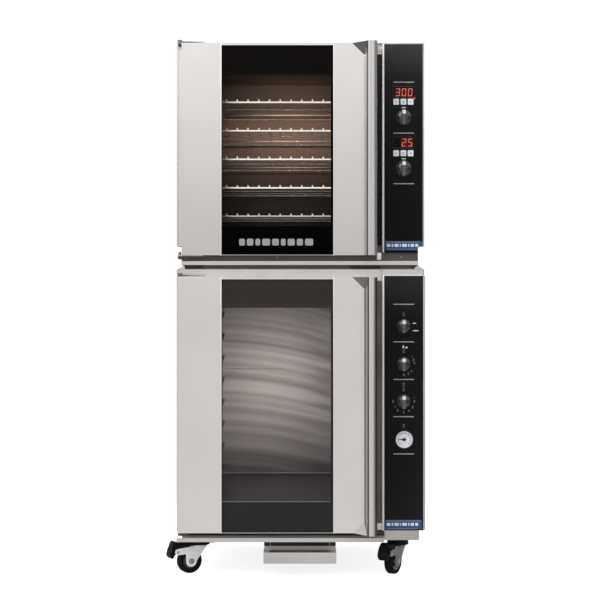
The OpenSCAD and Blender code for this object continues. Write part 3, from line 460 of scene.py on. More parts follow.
def make_coatings():
    """Paints, plastics, rubbers, prints, glass and lit parts."""
    # Brownish grey: painted shade and its brown reflection in the handle channel.
    coated("channel_shade_brown", (0.205, 0.170, 0.160), (0.35, 0.5), 0.3, 900, 0.1)
    coated("element", (0.12, 0.11, 0.105), (0.5, 0.7), 0.3, 500, 0.2)
    coated("motor", (0.20, 0.22, 0.25), (0.45, 0.6), 0.2, 500, 0.3)
    coated("black_plastic", (0.017, 0.016, 0.019), (0.18, 0.28), 0.25, 1500, 0.08, 0.8, 0.8)
    # A lighter copy of the knobs' black plastic: painted sheen on the grips.
    coated("knob_black", (0.066, 0.064, 0.070), (0.26, 0.36), 0.2, 1500, 0.06, 0.6, 1.0)
    coated("button", (0.80, 0.84, 0.89), (0.3, 0.42), 0.06, 1400, 0.05)
    coated("dial", (0.86, 0.875, 0.915), (0.25, 0.35), 0.04, 900, 0.03)
    coated("needle_black", (0.015, 0.015, 0.016), (0.35, 0.5), 0.2)
    coated("black_frame", (0.0035, 0.003, 0.003), (0.3, 0.45), 0.25, 900, 0.05, 0.0, 0.1)
    coated("caster_black", (0.0035, 0.0035, 0.0045), (0.38, 0.52), 0.25, 900, 0.1, 0.0, 0.14)
    coated("wheel_rubber", (0.0035, 0.0035, 0.004), (0.4, 0.6), 0.3, 700, 0.25, 0.0, 0.14)
    coated("pad_rubber", (0.010, 0.010, 0.010), (0.5, 0.7), 0.3, 700, 0.2)
    coated("seal", (0.014, 0.014, 0.014), (0.55, 0.7), 0.3, 600, 0.2)
    coated("print_grey", (0.33, 0.32, 0.33), (0.45, 0.6), 0.06, 1500, 0.02)
    coated("print_white", (0.78, 0.78, 0.78), (0.45, 0.6), 0.05, 1500, 0.02)
    coated("print_red", (0.26, 0.16, 0.175), (0.4, 0.6), 0.1, 1500, 0.02)
    coated("badge_blue", (0.022, 0.050, 0.145), (0.3, 0.45), 0.25, 1200, 0.03, 0.3)
    coated("badge_pale", (0.60, 0.74, 0.98), (0.3, 0.45), 0.08, 1200, 0.03)
    coated("badge_line", (0.20, 0.31, 0.46), (0.3, 0.45), 0.08, 1200, 0.03)
    coated("glass_print", (0.30, 0.30, 0.30), (0.3, 0.45), 0.08, 1200, 0.03)
    tinted_glass("oven_glass", (0.003, 0.0025, 0.0022), 0.14, 0.03)
    tinted_glass("prover_glass", (0.03, 0.028, 0.028), 0.14, 0.5)
    glow("display", (0.004, 0.002, 0.002), (0.55, 0.012, 0.008), 0.006, 0.5, 0.1)
    glow("digit_haze", (0.03, 0.001, 0.001), (0.75, 0.022, 0.018), 0.085, 0.5, 0.1)
    glow("digits", (0.4, 0.05, 0.04), (1.0, 0.36, 0.31), 0.52)
    glow("lamp_red", (0.4, 0.02, 0.02), (1.0, 0.07, 0.06), 0.42)
    glow("lens", (0.8, 0.75, 0.65), (1.0, 0.82, 0.6), 1.6)


BY_SLOT = {"glass": "oven_glass", "chrome_wire": "chrome", "door_stainless": "oven_door_steel"}
BY_NODE = {
    "prover_door_frame": "prover_door_steel",
    "prover_door_glass": "prover_glass",
    "prover_rear_panel": "rear_panel",
    "prover_tray_runners": "runner_steel_painted_shade",
    "door_hinges": "hinge_steel_painted_shade",
    "prover_door_liner": "prover_band",
    "oven_door_liner": "oven_band",
    "oven_door_handle": "oven_handle_painted_reflections",
    "prover_door_handle": "prover_handle_painted_reflections",
    # The front right fork gets the darker zinc copy, painted shade.
    "front_right_fork": "zinc_painted_shade",
    "oven_base": "stainless",
    "prover_base": "base_steel_shaded_right",
}


def finish_cad_nodes():
    """Each carried-over CAD node gets its material and finely rounded sheet edges."""
    for name, node in NODES.items():
        slot = SLOT_OF[name]
        node.data.materials.clear()
        node.data.materials.append(MATS[BY_NODE.get(name, BY_SLOT.get(slot, slot))])
        node.data.polygons.foreach_set("material_index", [0] * len(node.data.polygons))
        weld = node.modifiers.new("weld", "WELD")
        weld.merge_threshold = 1e-5
        flat = node.modifiers.new("flat", "DECIMATE")
        flat.decimate_type = "DISSOLVE"
        flat.delimit = {"MATERIAL"}
        flat.angle_limit = math.radians(0.6)
        edge = node.modifiers.new("edge", "BEVEL")
        edge.width = 0.0005
        edge.segments = 2
        edge.limit_method = "ANGLE"
        edge.angle_limit = math.radians(50)
        edge.use_clamp_overlap = True


def paint(node, material, test):
    """Gives a material to the faces of a CAD node whose centre in millimetres and normal pass the test."""
    mesh = NODES[node].data
    mesh.materials.append(MATS[material])
    index = len(mesh.materials) - 1
    for face in mesh.polygons:
        if test(face.center / MM, face.normal):
            face.material_index = index


def paint_cad_nodes():
    """Second finishes on parts of a sheet: painted shade on the oven base under its door, in the recess under the
    prover's door, on the prover's floor and on the handles' gussets; stainless on the ends of the stacking frame.
    """
    recess_z = box_mm("oven_base")[0].z + 12.2
    lip_y = box_mm("prover_base")[0].y + 4
    sheet_y, recess_end_x = -270, 235
    frame_ends_x, gusset_end_x = 348, 187.5
    # Painted shade on the oven base above its lowest strip, under the door.
    paint("oven_base", "dark_steel", lambda c, n: c.z > recess_z)
    paint("prover_base", "sill_painted_shade",
          lambda c, n: n.y < -0.5 and lip_y < c.y < sheet_y and c.x < recess_end_x)
    # Painted shade: the prover liner's upward faces turn near-black.
    paint("prover_liner", "prover_floor_painted_shade", lambda c, n: n.z > 0.5)
    paint("stacking_frame", "stainless", lambda c, n: abs(c.x) > frame_ends_x)
    for handle in ("oven_door_handle", "prover_door_handle"):
        paint(handle, "gusset_painted_shade", lambda c, n: c.x < gusset_end_x)


# ---------------------------------------------------------------- mesh helpers, in millimetres

def place(name, mesh_bm, material, body, sharp=35.0, replaces=()):
    """Turns a bmesh in millimetres into a piece that rides on a body."""
    bmesh.ops.recalc_face_normals(mesh_bm, faces=mesh_bm.faces)
    bmesh.ops.scale(mesh_bm, vec=(MM, MM, MM), verts=mesh_bm.verts)
    mesh = bpy.data.meshes.new(name)
    mesh_bm.to_mesh(mesh)
    mesh_bm.free()
    mesh.polygons.foreach_set("use_smooth", [True] * len(mesh.polygons))
    mesh.set_sharp_from_angle(angle=math.radians(sharp))
    mesh.materials.append(MATS[material])
    obj = bpy.data.objects.new(name, mesh)
    SCENE.collection.objects.link(obj)
    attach(obj, body)
    if replaces:
        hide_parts(*replaces)


def add_block(bm, low, high, round_by=0.0, segments=2):
    """Adds a block from corner to corner with rounded edges."""
    made = bmesh.ops.create_cube(bm, size=1.0)["verts"]
    bmesh.ops.scale(bm, vec=Vector(high) - Vector(low), verts=made)
    bmesh.ops.translate(bm, vec=(Vector(high) + Vector(low)) / 2, verts=made)
    if round_by > 0:
        edges = list({e for v in made for e in v.link_edges})
        bmesh.ops.bevel(bm, geom=edges, offset=round_by, segments=segments, affect="EDGES", profile=0.5)


def place_blocks(name, material, body, corners, round_by=0.4, segments=2):
    """Places one piece made of rounded blocks, each given by its low and high corner."""
    bm = bmesh.new()
    for low, high in corners:
        add_block(bm, low, high, round_by, segments)
    place(name, bm, material, body)


def add_lathe(bm, profile, centre, axis, steps=40):
    """Adds a profile of (radius, along) points revolved about an axis through the centre."""
    axis = Vector(axis).normalized()
    side = axis.orthogonal().normalized()
    other = axis.cross(side)
    rings = []
    for radius, along in profile:
        spot = Vector(centre) + axis * along
        if radius < 1e-6:
            rings.append([bm.verts.new(spot)])
            continue
        ring = []
        for i in range(steps):
            a = 2 * math.pi * i / steps
            ring.append(bm.verts.new(spot + side * radius * math.cos(a) + other * radius * math.sin(a)))
        rings.append(ring)
    for a, b in zip(rings, rings[1:]):
        for i in range(steps):
            j = (i + 1) % steps
            if len(a) == 1 and len(b) == 1:
                continue
            if len(a) == 1:
                bm.faces.new((a[0], b[i], b[j]))
            elif len(b) == 1:
                bm.faces.new((a[i], b[0], a[j]))
            else:
                bm.faces.new((a[i], b[i], b[j], a[j]))


def add_tube(bm, points, radius, steps=10, closed=False):
    """Adds a round bar along a line of points, capped unless it is closed."""
    points = [Vector(p) for p in points]
    count = len(points)
    rings = []
    normal = None
    for i, p in enumerate(points):
        before = points[i - 1] if (i > 0 or closed) else p
        after = points[(i + 1) % count] if (i < count - 1 or closed) else p
        tangent = (after - before).normalized()
        if normal is None:
            normal = tangent.orthogonal().normalized()
        normal = (normal - tangent * normal.dot(tangent)).normalized()
        other = tangent.cross(normal)
        rings.append([
            bm.verts.new(p + (normal * math.cos(t) + other * math.sin(t)) * radius)
            for t in (2 * math.pi * k / steps for k in range(steps))
        ])
    for a, b in zip(rings, rings[1:]):
        for k in range(steps):
            bm.faces.new((a[k], a[(k + 1) % steps], b[(k + 1) % steps], b[k]))
    if closed:
        a, b = rings[-1], rings[0]
        shift = min(range(steps), key=lambda s: (a[0].co - b[s].co).length)
        for k in range(steps):
            bm.faces.new((a[k], a[(k + 1) % steps], b[(k + 1 + shift) % steps], b[(k + shift) % steps]))
    else:
        bm.faces.new(rings[0][::-1])
        bm.faces.new(rings[-1])


def add_plate(bm, outline, front, back, round_by=0.0):
    """Adds an outline of (x, z) points as a plate between two depths y."""
    fore = [bm.verts.new((x, front, z)) for x, z in outline]
    aft = [bm.verts.new((x, back, z)) for x, z in outline]
    face = bm.faces.new(fore)
    bm.faces.new(aft[::-1])
    count = len(outline)
    for i in range(count):
        j = (i + 1) % count
        bm.faces.new((fore[i], fore[j], aft[j], aft[i]))
    if round_by > 0:
        bmesh.ops.bevel(bm, geom=list(face.edges), offset=round_by, segments=2, affect="EDGES", profile=0.5)


def add_skin(bm, rings):
    """Joins rings of equally many vertices into a closed skin."""
    for a, b in zip(rings, rings[1:]):
        for i in range(len(a)):
            j = (i + 1) % len(a)
            bm.faces.new((a[i], a[j], b[j], b[i]))
    bm.faces.new(rings[-1])
    bm.faces.new(rings[0][::-1])


def place_plates(name, material, body, outlines, front, back, round_by=0.0):
    """Places one piece made of plates that share their two depths."""
    bm = bmesh.new()
    for outline in outlines:
        add_plate(bm, outline, front, back, round_by)
    place(name, bm, material, body)


def place_lathe(name, material, body, profile, centre, axis, steps=40, sharp=35.0, replaces=()):
    """Places one piece made of a single revolved profile."""
    bm = bmesh.new()
    add_lathe(bm, profile, centre, axis, steps)
    place(name, bm, material, body, sharp, replaces)


def rounded_rect(x0, z0, x1, z1, r, steps=5):
    """Points of a rectangle with round corners, each corner an arc of so many steps."""
    corners = ((x1 - r, z1 - r, 0), (x0 + r, z1 - r, 90), (x0 + r, z0 + r, 180), (x1 - r, z0 + r, 270))
    points = []
    for cx, cz, start in corners:
        for i in range(steps + 1):
            a = math.radians(start + 90 * i / steps)
            points.append((cx + r * math.cos(a), cz + r * math.sin(a)))
    return points


def box_mm(node):
    low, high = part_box(node)
    return low / MM, high / MM


def pos_mm(joint):
    return Vector(JOINTS[joint]["pos_m"]) / MM


# ---------------------------------------------------------------- racks, folded edges, painted highlights and painted shade

def make_racks():
    """Five wire racks: a rounded rail loop, wires that hook over its ends, and two cross rods. The front of each
    rack is in a lighter copy of the wire steel, a painted highlight, and the rest in a darker copy, painted shade.
    """
    low, high = box_mm("wire_racks")
    count, rail_r, wire_r, cross_r = 5, 3.5, 2.0, 3.0
    lift = rail_r + wire_r - 1.0
    bottom = low.z + rail_r
    pitch = (high.z - wire_r - lift - bottom) / (count - 1)
    x0, x1 = low.x + rail_r, high.x - rail_r
    y0, y1 = -280.0, 340.0
    wires, step = 14, 32.0
    first = (x0 + x1) / 2 - step * (wires - 1) / 2
    bend, hook = 14.0, 9.0
    for n in range(count):
        z = bottom + pitch * n
        top = z + lift
        rail, rods = bmesh.new(), bmesh.new()
        loop = [(x, y, z) for x, y in rounded_rect(x0, y0, x1, y1, bend, 6)]
        add_tube(rail, sorted(p for p in loop if p[1] < y0 + bend + 1), rail_r - 1.1, 12)
        add_tube(rods, [p for p in loop if p[1] > y0 + bend - 1], rail_r - 0.9, 12)
        for share in (0.40, 0.72):
            y = y0 + (y1 - y0) * share
            add_tube(rods, [(x0, y, z), (x1, y, z)], cross_r - 0.8, 12)
        for i in range(wires):
            x = first + step * i
            add_tube(rail, [
                (x, y0 - lift + 0.6, z + 0.5), (x, y0 - 3.8, top + 0.2), (x, y0 - 1.0, top + 1.8),
                (x, y0 + 3.0, top + 0.8), (x, y0 + hook, top),
            ], wire_r + 0.2, 8)
            add_tube(rods, [
                (x, y0 + hook - 0.5, top), (x, y1 + 1.0, top), (x, y1 + 3.6, top - 1.2),
                (x, y1 + lift - 0.6, z + 0.5),
            ], wire_r - 0.5, 8)
        place(f"wire_rack_{n + 1}", rail, "wire_painted_highlight", "cabinet", replaces=["wire_racks"])
        place(f"rack_{n + 1}_wires", rods, "wire_painted_shade", "cabinet")


def make_window_edges():
    """Edges beside both windows in near-white steel as painted highlights, edges across the prover's pane, and the
    dark strip below that pane.
    """
    half = 1.1
    for door in ("oven_door", "prover_door"):
        low, high = box_mm(door + "_frame")
        place_blocks(door + "_window_edges", "trim_steel_painted_highlight", door, [
            ((x - half, low.y - 0.3, low.z + 1), (x + half, low.y + 1.2, high.z - 1))
            for x in (WINDOW_X0, WINDOW_X1)
        ], 0.5)
    low, high = box_mm("prover_door_liner")
    x0, x1 = WINDOW_X0 + 2.0, WINDOW_X1 - 2.0
    pane_z0, pane_z1 = low.z + PROVER_BAND, high.z - PROVER_BAND
    place_blocks("prover_pane_edges", "edge_steel", "prover_door", [
        ((x0, low.y + 0.1, z), (x1, low.y + 1.6, z + 1.4))
        for z in (pane_z0 + LOW_BAND_RISE, pane_z1 - 1.4, low.z + 1.2)
    ], 0.3)
    band_top = pane_z0 + LOW_BAND_RISE + 0.4
    place_blocks("prover_band_strip", "prover_band", "prover_door", [
        ((x0 - 0.3, low.y + 0.2, pane_z0 - 1.0), (x1 + 0.4, low.y + 1.5, band_top)),
    ], 0.2)


def make_trim():
    """Edges and folds of the fixed cabinet, the bezel's edges in near-white steel as painted highlights, a
    brownish sheet of painted shade in the handle channel, the small catch, a black strip of painted shade above
    the drip tray, and the dark hinge leaves as painted shade under the hinge arms.
    """
    fascia, prover, base = box_mm("oven_fascia"), box_mm("prover_fascia"), box_mm("oven_base")
    front, top, split = fascia[0].y, fascia[1].z, prover[1].z
    x0, x1 = PANEL_EDGE_X0, PANEL_EDGE_X1
    # The bezel's edges in near-white steel: painted highlights.
    place_blocks("fascia_edges", "trim_steel_painted_highlight", "cabinet", [
        ((x0, front - 0.3, fascia[0].z + 1), (x1, front + 1.5, top + 2)),
        ((x0 + 0.6, front - 0.3, prover[0].z), (x1, front + 1.5, split + 4)),
        ((x1 + 0.2, front - 0.3, split + 0.6), (364.8, front + 1.5, split + 4)),
        ((x1 + 0.8, front - 0.3, top + 0.5), (363.0, front + 1.2, top + 2.2)),
    ])
    side_x = prover[1].x
    place_blocks("prover_side_fold", "edge_steel", "cabinet", [
        ((side_x - 0.6, front - 0.3, prover[0].z + 1), (side_x + 5.4, front + 2.2, split - 1)),
    ], 0.5)
    low, high = box_mm("prover_rear_panel")
    place_blocks("prover_panel_edge", "edge_steel", "cabinet", [
        ((low.x + 2, low.y - 2.2, low.z + 0.4), (high.x - 2, low.y - 0.4, low.z + 2.6)),
    ])
    # A brownish sheet in the handle channel: painted shade and reflection on the frame behind it.
    depth = box_mm("prover_front_frame")[1].y - 1.7
    place_blocks("channel_painted_shade", "channel_shade_brown", "cabinet", [
        ((CHANNEL_X0, depth - 0.6, prover[0].z + 18), (CHANNEL_X1, depth, split - 14)),
    ])
    # Painted highlight: a near-white plate at the top of the handle channel.
    place_blocks("channel_corner", "trim_steel_painted_highlight", "cabinet", [
        ((CHANNEL_X0 + 0.2, depth - 1.2, top - 23), (CHANNEL_X1 + 1.0, depth, top - 1)),
    ], 0.5)
    sill = base[0]
    place_blocks("oven_door_catch", "trim_steel_painted_highlight", "cabinet", [
        ((CHANNEL_X0 - 1.6, sill.y - 1.0, sill.z + 15.5), (240.5, sill.y + 11.8, sill.z + 37.0)),
    ], 1.6, 3)
    # Painted shade: a black strip in the gap above the drip tray.
    low, high = box_mm("drip_tray")
    place_blocks("tray_gap_painted_shade", "pad_rubber", "cabinet", [
        ((low.x + 1, low.y + 36, high.z + 13.5), (high.x - 1, low.y + 40, high.z + 30.5)),
    ], 0.6)

    # The hinge leaves are in the darkened hinge steel: painted shade under the hinge arms.
    low, high = box_mm("door_hinges")
    leaves = []
    for z, thick, inset in ((high.z - 6.8, 2.6, 1.5), (split + 0.2, 2.2, 1.5), (sill.z + 25.6, 2.4, 14.5)):
        x = low.x + inset
        leaves.append([
            (x, z - thick * 0.9), (x + 34, z - thick * 0.5), (x + 80, z), (x + 80, z + 0.8), (x, z + thick),
        ])
    place_plates("hinge_leaves", "hinge_steel_painted_shade", "cabinet", leaves, low.y + 0.2, low.y + 7.0, 0.2)


def make_runner_gussets():
    """Tapered gussets at the rear ends of the tray runners, one on each wall at each level, in the near-black
    runner steel that paints their shade.
    """
    low, high = box_mm("prover_tray_runners")
    wedges = []
    for level in range(RUNNER_LEVELS):
        z = high.z - level * RUNNER_PITCH - 0.6
        for wall, way in ((low.x, 1), (high.x, -1)):
            corners = ((1.5, z), (35.0, z), (23.5, z - 38), (1.5, z - 38))
            wedges.append([(wall + way * reach, up) for reach, up in corners][::way])
    place_plates("runner_gussets", "runner_steel_painted_shade", "cabinet", wedges, high.y - 26, high.y - 0.6, 0.3)


# ---------------------------------------------------------------- controls

def add_grip(bm, cx, cz, half_length, y_base, y_front):
    """A grip bar across the knob with hollowed flanks and rounded ends."""
    half_base, half_front, steps = 8.6, 6.6, 14
    rows = []
    for y, half, reach in (
        (y_base, half_base, half_length),
        (y_front + 2.0, half_front + 0.4, half_length * 0.965),
        (y_front + 0.5, half_front - 0.3, half_length * 0.945),
        (y_front, half_front - 1.3, half_length * 0.90),
    ):
        row = []
        for side in (1, -1):
            for i in range(steps + 1):
                t = -1 + 2 * i / steps
                waist = 1 - 0.16 * (1 - t * t)
                end = math.sqrt(max(0.0, 1 - max(0.0, (abs(t) - 0.82) / 0.18) ** 2)) * 0.55 + 0.45
                row.append(bm.verts.new((cx + side * half * waist * end, y, cz + side * t * reach)))
        rows.append(row)
    add_skin(bm, rows)


def make_knob(node):
    """A domed cap, its grip bar in the lighter plastic as a painted sheen, and a white pointer as large as the
    pale patch at the knob's top: partly print, partly painted highlight.
    """
    low, high = box_mm(node)
    centre = pos_mm(node + "_turn")
    radius = (high.x - low.x) / 2
    body = node + "_body"
    base = box_mm("oven_fascia")[0].y - 0.3
    place_lathe(node + "_cap", "black_plastic", body, [
        (0, 0.0), (radius - 0.6, 0.0), (radius, 0.6), (radius, 2.6), (radius - 0.9, 3.6),
        (radius - 2.8, 6.2), (radius - 5.2, 8.8), (radius - 8.0, 10.6), (radius - 12.0, 11.8), (0, 12.4),
    ], (centre.x, base, centre.z), FORWARD, 56, replaces=[node])
    grip = bmesh.new()
    add_grip(grip, centre.x, centre.z, radius + 0.6, base - 1.2, low.y + 0.3)
    place(node + "_grip", grip, "knob_black", body)
    top = centre.z + radius * 0.80
    mark = rounded_rect(centre.x - 5.2, top - 10.5, centre.x + 5.2, top, 2.4)
    place_plates(node + "_pointer", "print_white", body, [mark], low.y + 0.05, low.y + 0.6, 0.1)


def make_button(node, icon):
    """A cap with a soft rim and a printed minus, plus or power sign."""
    low, high = box_mm(node)
    centre = (low + high) / 2
    cx, cz = centre.x, centre.z
    body = node + "_body"
    cap = bmesh.new()
    outline = rounded_rect(low.x, low.z, high.x, high.z, 2.2)
    rings = []
    for y, inset in (
        (high.y, 0.0), (low.y + 0.9, 0.0), (low.y + 0.35, 0.35), (low.y + 0.12, 1.1), (low.y + 0.02, 3.0),
    ):
        sx = 1 - inset / (high.x - low.x) * 2
        sz = 1 - inset / (high.z - low.z) * 2
        rings.append([cap.verts.new((cx + (x - cx) * sx, y, cz + (z - cz) * sz)) for x, z in outline])
    add_skin(cap, rings)
    place(node + "_cap", cap, "button", body, replaces=[node])

    if icon == "power":
        turns = [math.radians(120 + 300 * i / 22) for i in range(23)]
        arc = [(3.3 * math.cos(a), 3.3 * math.sin(a) - 0.2) for a in turns]
        arc += [(2.3 * math.cos(a), 2.3 * math.sin(a) - 0.2) for a in reversed(turns)]
        signs = [arc, rounded_rect(-0.5, 0.6, 0.5, 4.0, 0.4)]
    else:
        signs = [rounded_rect(-3.2, -0.6, 3.2, 0.6, 0.5)]
    if icon == "plus":
        signs += [rounded_rect(-0.6, 0.7, 0.6, 3.2, 0.5), rounded_rect(-0.6, -3.2, 0.6, -0.7, 0.5)]
    ink = [[(cx + x, cz + z) for x, z in sign] for sign in signs]
    place_plates(node + "_icon", "needle_black", body, ink, low.y - 0.02, low.y + 0.3)


SEGMENTS = {
    "0": "abcdef", "1": "bc", "2": "abged", "3": "abgcd", "4": "fgbc",
    "5": "afgcd", "6": "afgedc", "7": "abc", "8": "abcdefg",
}


def add_digit(bm, digit, x, z, width, height, front, lean=0.09, thick=1.7, deep=0.3):
    """Adds the lit bars of a seven-segment digit; x, z is its lower left corner."""
    half, t = height / 2, thick
    right, top = width - t, height - t
    gap = 0.35
    over, under = half + t / 2, half - t / 2
    bars = {
        "a": [(gap, height), (width - gap, height), (right, top), (t, top)],
        "d": [(gap, 0), (t, t), (right, t), (width - gap, 0)],
        "g": [(t * 0.6, half), (t, over), (right, over), (width - t * 0.6, half), (right, under), (t, under)],
        "f": [(0, height - gap), (t, top - gap), (t, over + gap), (0, half + gap)],
        "b": [(width, height - gap), (width, half + gap), (right, over + gap), (right, top - gap)],
        "e": [(0, half - gap), (t, under - gap), (t, t + gap), (0, gap)],
        "c": [(width, half - gap), (width, gap), (right, t + gap), (right, under - gap)],
    }
    for key in SEGMENTS[digit]:
        add_plate(bm, [(x + px + pz * lean, z + pz) for px, pz in bars[key]], front, front + deep)


def make_display(name, text, cz):
    """Lit digits in a dark window, the red haze behind them and the window's rim."""
    front = box_mm("oven_fascia")[0].y
    centre_x = pos_mm("oven_temperature_knob_turn").x
    half_w, half_h = 31.0, 16.5
    digit_w, digit_h, step = 12.0, 22.5, 18.5
    right = centre_x + half_w - 4.5
    digits, rim = bmesh.new(), bmesh.new()
    for i, char in enumerate(reversed(text)):
        x = right - digit_w - step * i - 2
        add_digit(digits, char, x, cz - digit_h / 2, digit_w, digit_h, front + 0.45)
    place(name + "_digits", digits, "digits", "cabinet")
    left = right - step * len(text) + 2.0
    haze = rounded_rect(left, cz - 14.5, right + 1.0, cz + 13.5, 3.5)
    place_plates(name + "_haze", "digit_haze", "cabinet", [haze], front + 0.78, front + 1.0)
    window = rounded_rect(centre_x - half_w, cz - half_h, centre_x + half_w, cz + half_h, 1.5)
    add_tube(rim, [(x, front - 0.05, z) for x, z in window], 0.55, 8, closed=True)
    place(name + "_window_rim", rim, "black_plastic", "cabinet")


def make_controls():
    for name in ("prover_mode", "prover_heat", "prover_humidity", "oven_temperature", "oven_timer"):
        make_knob(name + "_knob")
    for name, text, lift in (("temperature", "300", 74.0), ("timer", "25", 77.0)):
        for i, icon in enumerate(("minus", "power", "plus")):
            make_button(f"{name}_button_{i + 1}", icon)
        make_display(name, text, pos_mm(f"oven_{name}_knob_turn").z + lift)


def add_dash(bm, x0, x1, z, thick, front):
    add_plate(bm, rounded_rect(x0, z - thick / 2, x1, z + thick / 2, thick * 0.4, 3), front, front + 0.25)


def make_print():
    """Printed lines, index marks and scales on both fascias, and the small indicator lamp."""
    front = box_mm("oven_fascia")[0].y - 0.12
    temperature, timer, mode, heat, humid = (pos_mm(name + "_knob_turn") for name in (
        "oven_temperature", "oven_timer", "prover_mode", "prover_heat", "prover_humidity",
    ))
    oven_x = temperature.x
    gauge_low, gauge_high = box_mm("thermometer")
    lines, white, scale, red = bmesh.new(), bmesh.new(), bmesh.new(), bmesh.new()
    for z in (
        temperature.z + 104.0, (temperature.z + timer.z) / 2 + 28.7, timer.z - 45.4,
        mode.z + 64.5, (mode.z + heat.z) / 2 + 9.3, (heat.z + humid.z) / 2 + 9.6,
        gauge_high.z + 40.5, gauge_low.z - 16.0,
    ):
        add_dash(lines, oven_x - HALF_LINE, oven_x + HALF_LINE, z, 3.0, front)
    place("fascia_lines", lines, "print_grey", "cabinet")

    for knob in (temperature, timer):
        add_dash(white, oven_x - 6.5, oven_x + 6.5, knob.z + 28.6, 2.6, front)
    add_dash(white, mode.x + 26, mode.x + 37, mode.z + 8, 2.2, front)
    add_dash(white, mode.x + 27, mode.x + 44, mode.z - 14, 2.4, front)
    x, z = heat.x - 1, heat.z + 47.5
    add_plate(white, [(x - 3.8, z), (x + 3.8, z), (x, z + 9)], front, front + 0.25)
    add_plate(white, [(x + 6, z - 1), (x + 13, z - 1), (x + 11, z + 4), (x + 8, z + 4)], front, front + 0.25)
    place("fascia_marks", white, "print_white", "cabinet")

    heat_marks, humid_marks = (44, 23, 5, -44, -64, -88), (21, 0, -33, -61, -90, -124, -148, -180)
    for knob, angles in ((heat, heat_marks), (humid, humid_marks)):
        for number, angle in enumerate(angles, 1):
            a = math.radians(angle)
            x, z = knob.x + 31.5 * math.cos(a), knob.z + 31.5 * math.sin(a)
            add_digit(scale, str(number), x - 2.2, z - 3.2, 4.4, 6.4, front, 0.0, 0.9, 0.25)
    place("fascia_numerals", scale, "print_grey", "cabinet")

    for x, z in (
        (mode.x, mode.z + 34), (heat.x, heat.z + 38), (humid.x, humid.z + 36), (humid.x, humid.z + 50),
        (gauge_low.x + 26, gauge_high.z + 13),
    ):
        add_digit(red, "0", x - 2.7, z - 5, 5.4, 10, front, 0.0, 1.5, 0.25)
    place("fascia_index_marks", red, "print_red", "cabinet")

    corner = box_mm("temperature_button_3")[1]
    dome = [(0, 1.3), (2.0, 1.0), (3.2, 0.3), (3.4, 0.0), (0, 0.0)]
    spot = (corner.x + 2.6, front + 0.1, corner.z + 1.4)
    place_lathe("indicator_lamp", "lamp_red", "cabinet", dome, spot, FORWARD, 20)


def make_badges():
    """Plain blue plates with an outline and a row of abstract blocks, with no lettering."""
    low, high = box_mm("oven_fascia")
    front = low.y - 0.35
    x0, x1, notch_x = 252.0, high.x - 0.6, 348.5
    z0, notch_z, z1 = low.z + 7.4, low.z + 20.4, low.z + 35.0
    prover_z = box_mm("prover_fascia")[0].z
    p0, p1 = prover_z + 2.5, prover_z + 31.0
    outlines = {
        "oven_badge": [(x0, z0), (notch_x, z0), (notch_x, notch_z), (x1, notch_z), (x1, z1), (x0, z1)],
        "prover_badge": rounded_rect(x0, p0, 361.0, p1, 1.5),
    }
    for name, outline in outlines.items():
        place_plates(name, "badge_blue", "cabinet", [outline], front, front + 0.4, 0.1)
    pattern, blocks = bmesh.new(), []
    for low_z, high_z, end in ((z0, z1, 350.0), (p0, p1, 355.0)):
        mid = (low_z + high_z) / 2 + 1.0
        start = x0 + 4
        add_dash(pattern, x0 + 2.5, end, high_z - 3.2, 1.4, front - 0.1)
        add_dash(pattern, x0 + 2.5, min(end, 346.0), low_z + 3.4, 1.2, front - 0.1)
        for width in (11, 5, 12, 3.5, 14, 4, 10, 9, 3.5, 9):
            stop = min(start + width, end)
            blocks.append(rounded_rect(start, mid - 4.4, stop, mid + 4.2, 1.6))
            start = stop + 3.6
            if start > end - 3:
                break
    place_plates("badge_pattern", "badge_pale", "cabinet", blocks, front - 0.1, front + 0.1)
    place("badge_lines", pattern, "badge_line", "cabinet")


def make_glass_print():
    """A row of plain rounded blocks printed low on the oven's pane."""
    low = box_mm("oven_door_glass")[0]
    blocks = []
    x, z = -180.5, low.z + 27.0
    for width in (17, 19, 14, 23, 20, 14, 21, 18, 24):
        blocks.append(rounded_rect(x, z, x + width, z + 20.0, 4.5))
        x += width + 6.0
    place_plates("oven_glass_print", "glass_print", "oven_door", blocks, low.y - 0.15, low.y + 0.05)


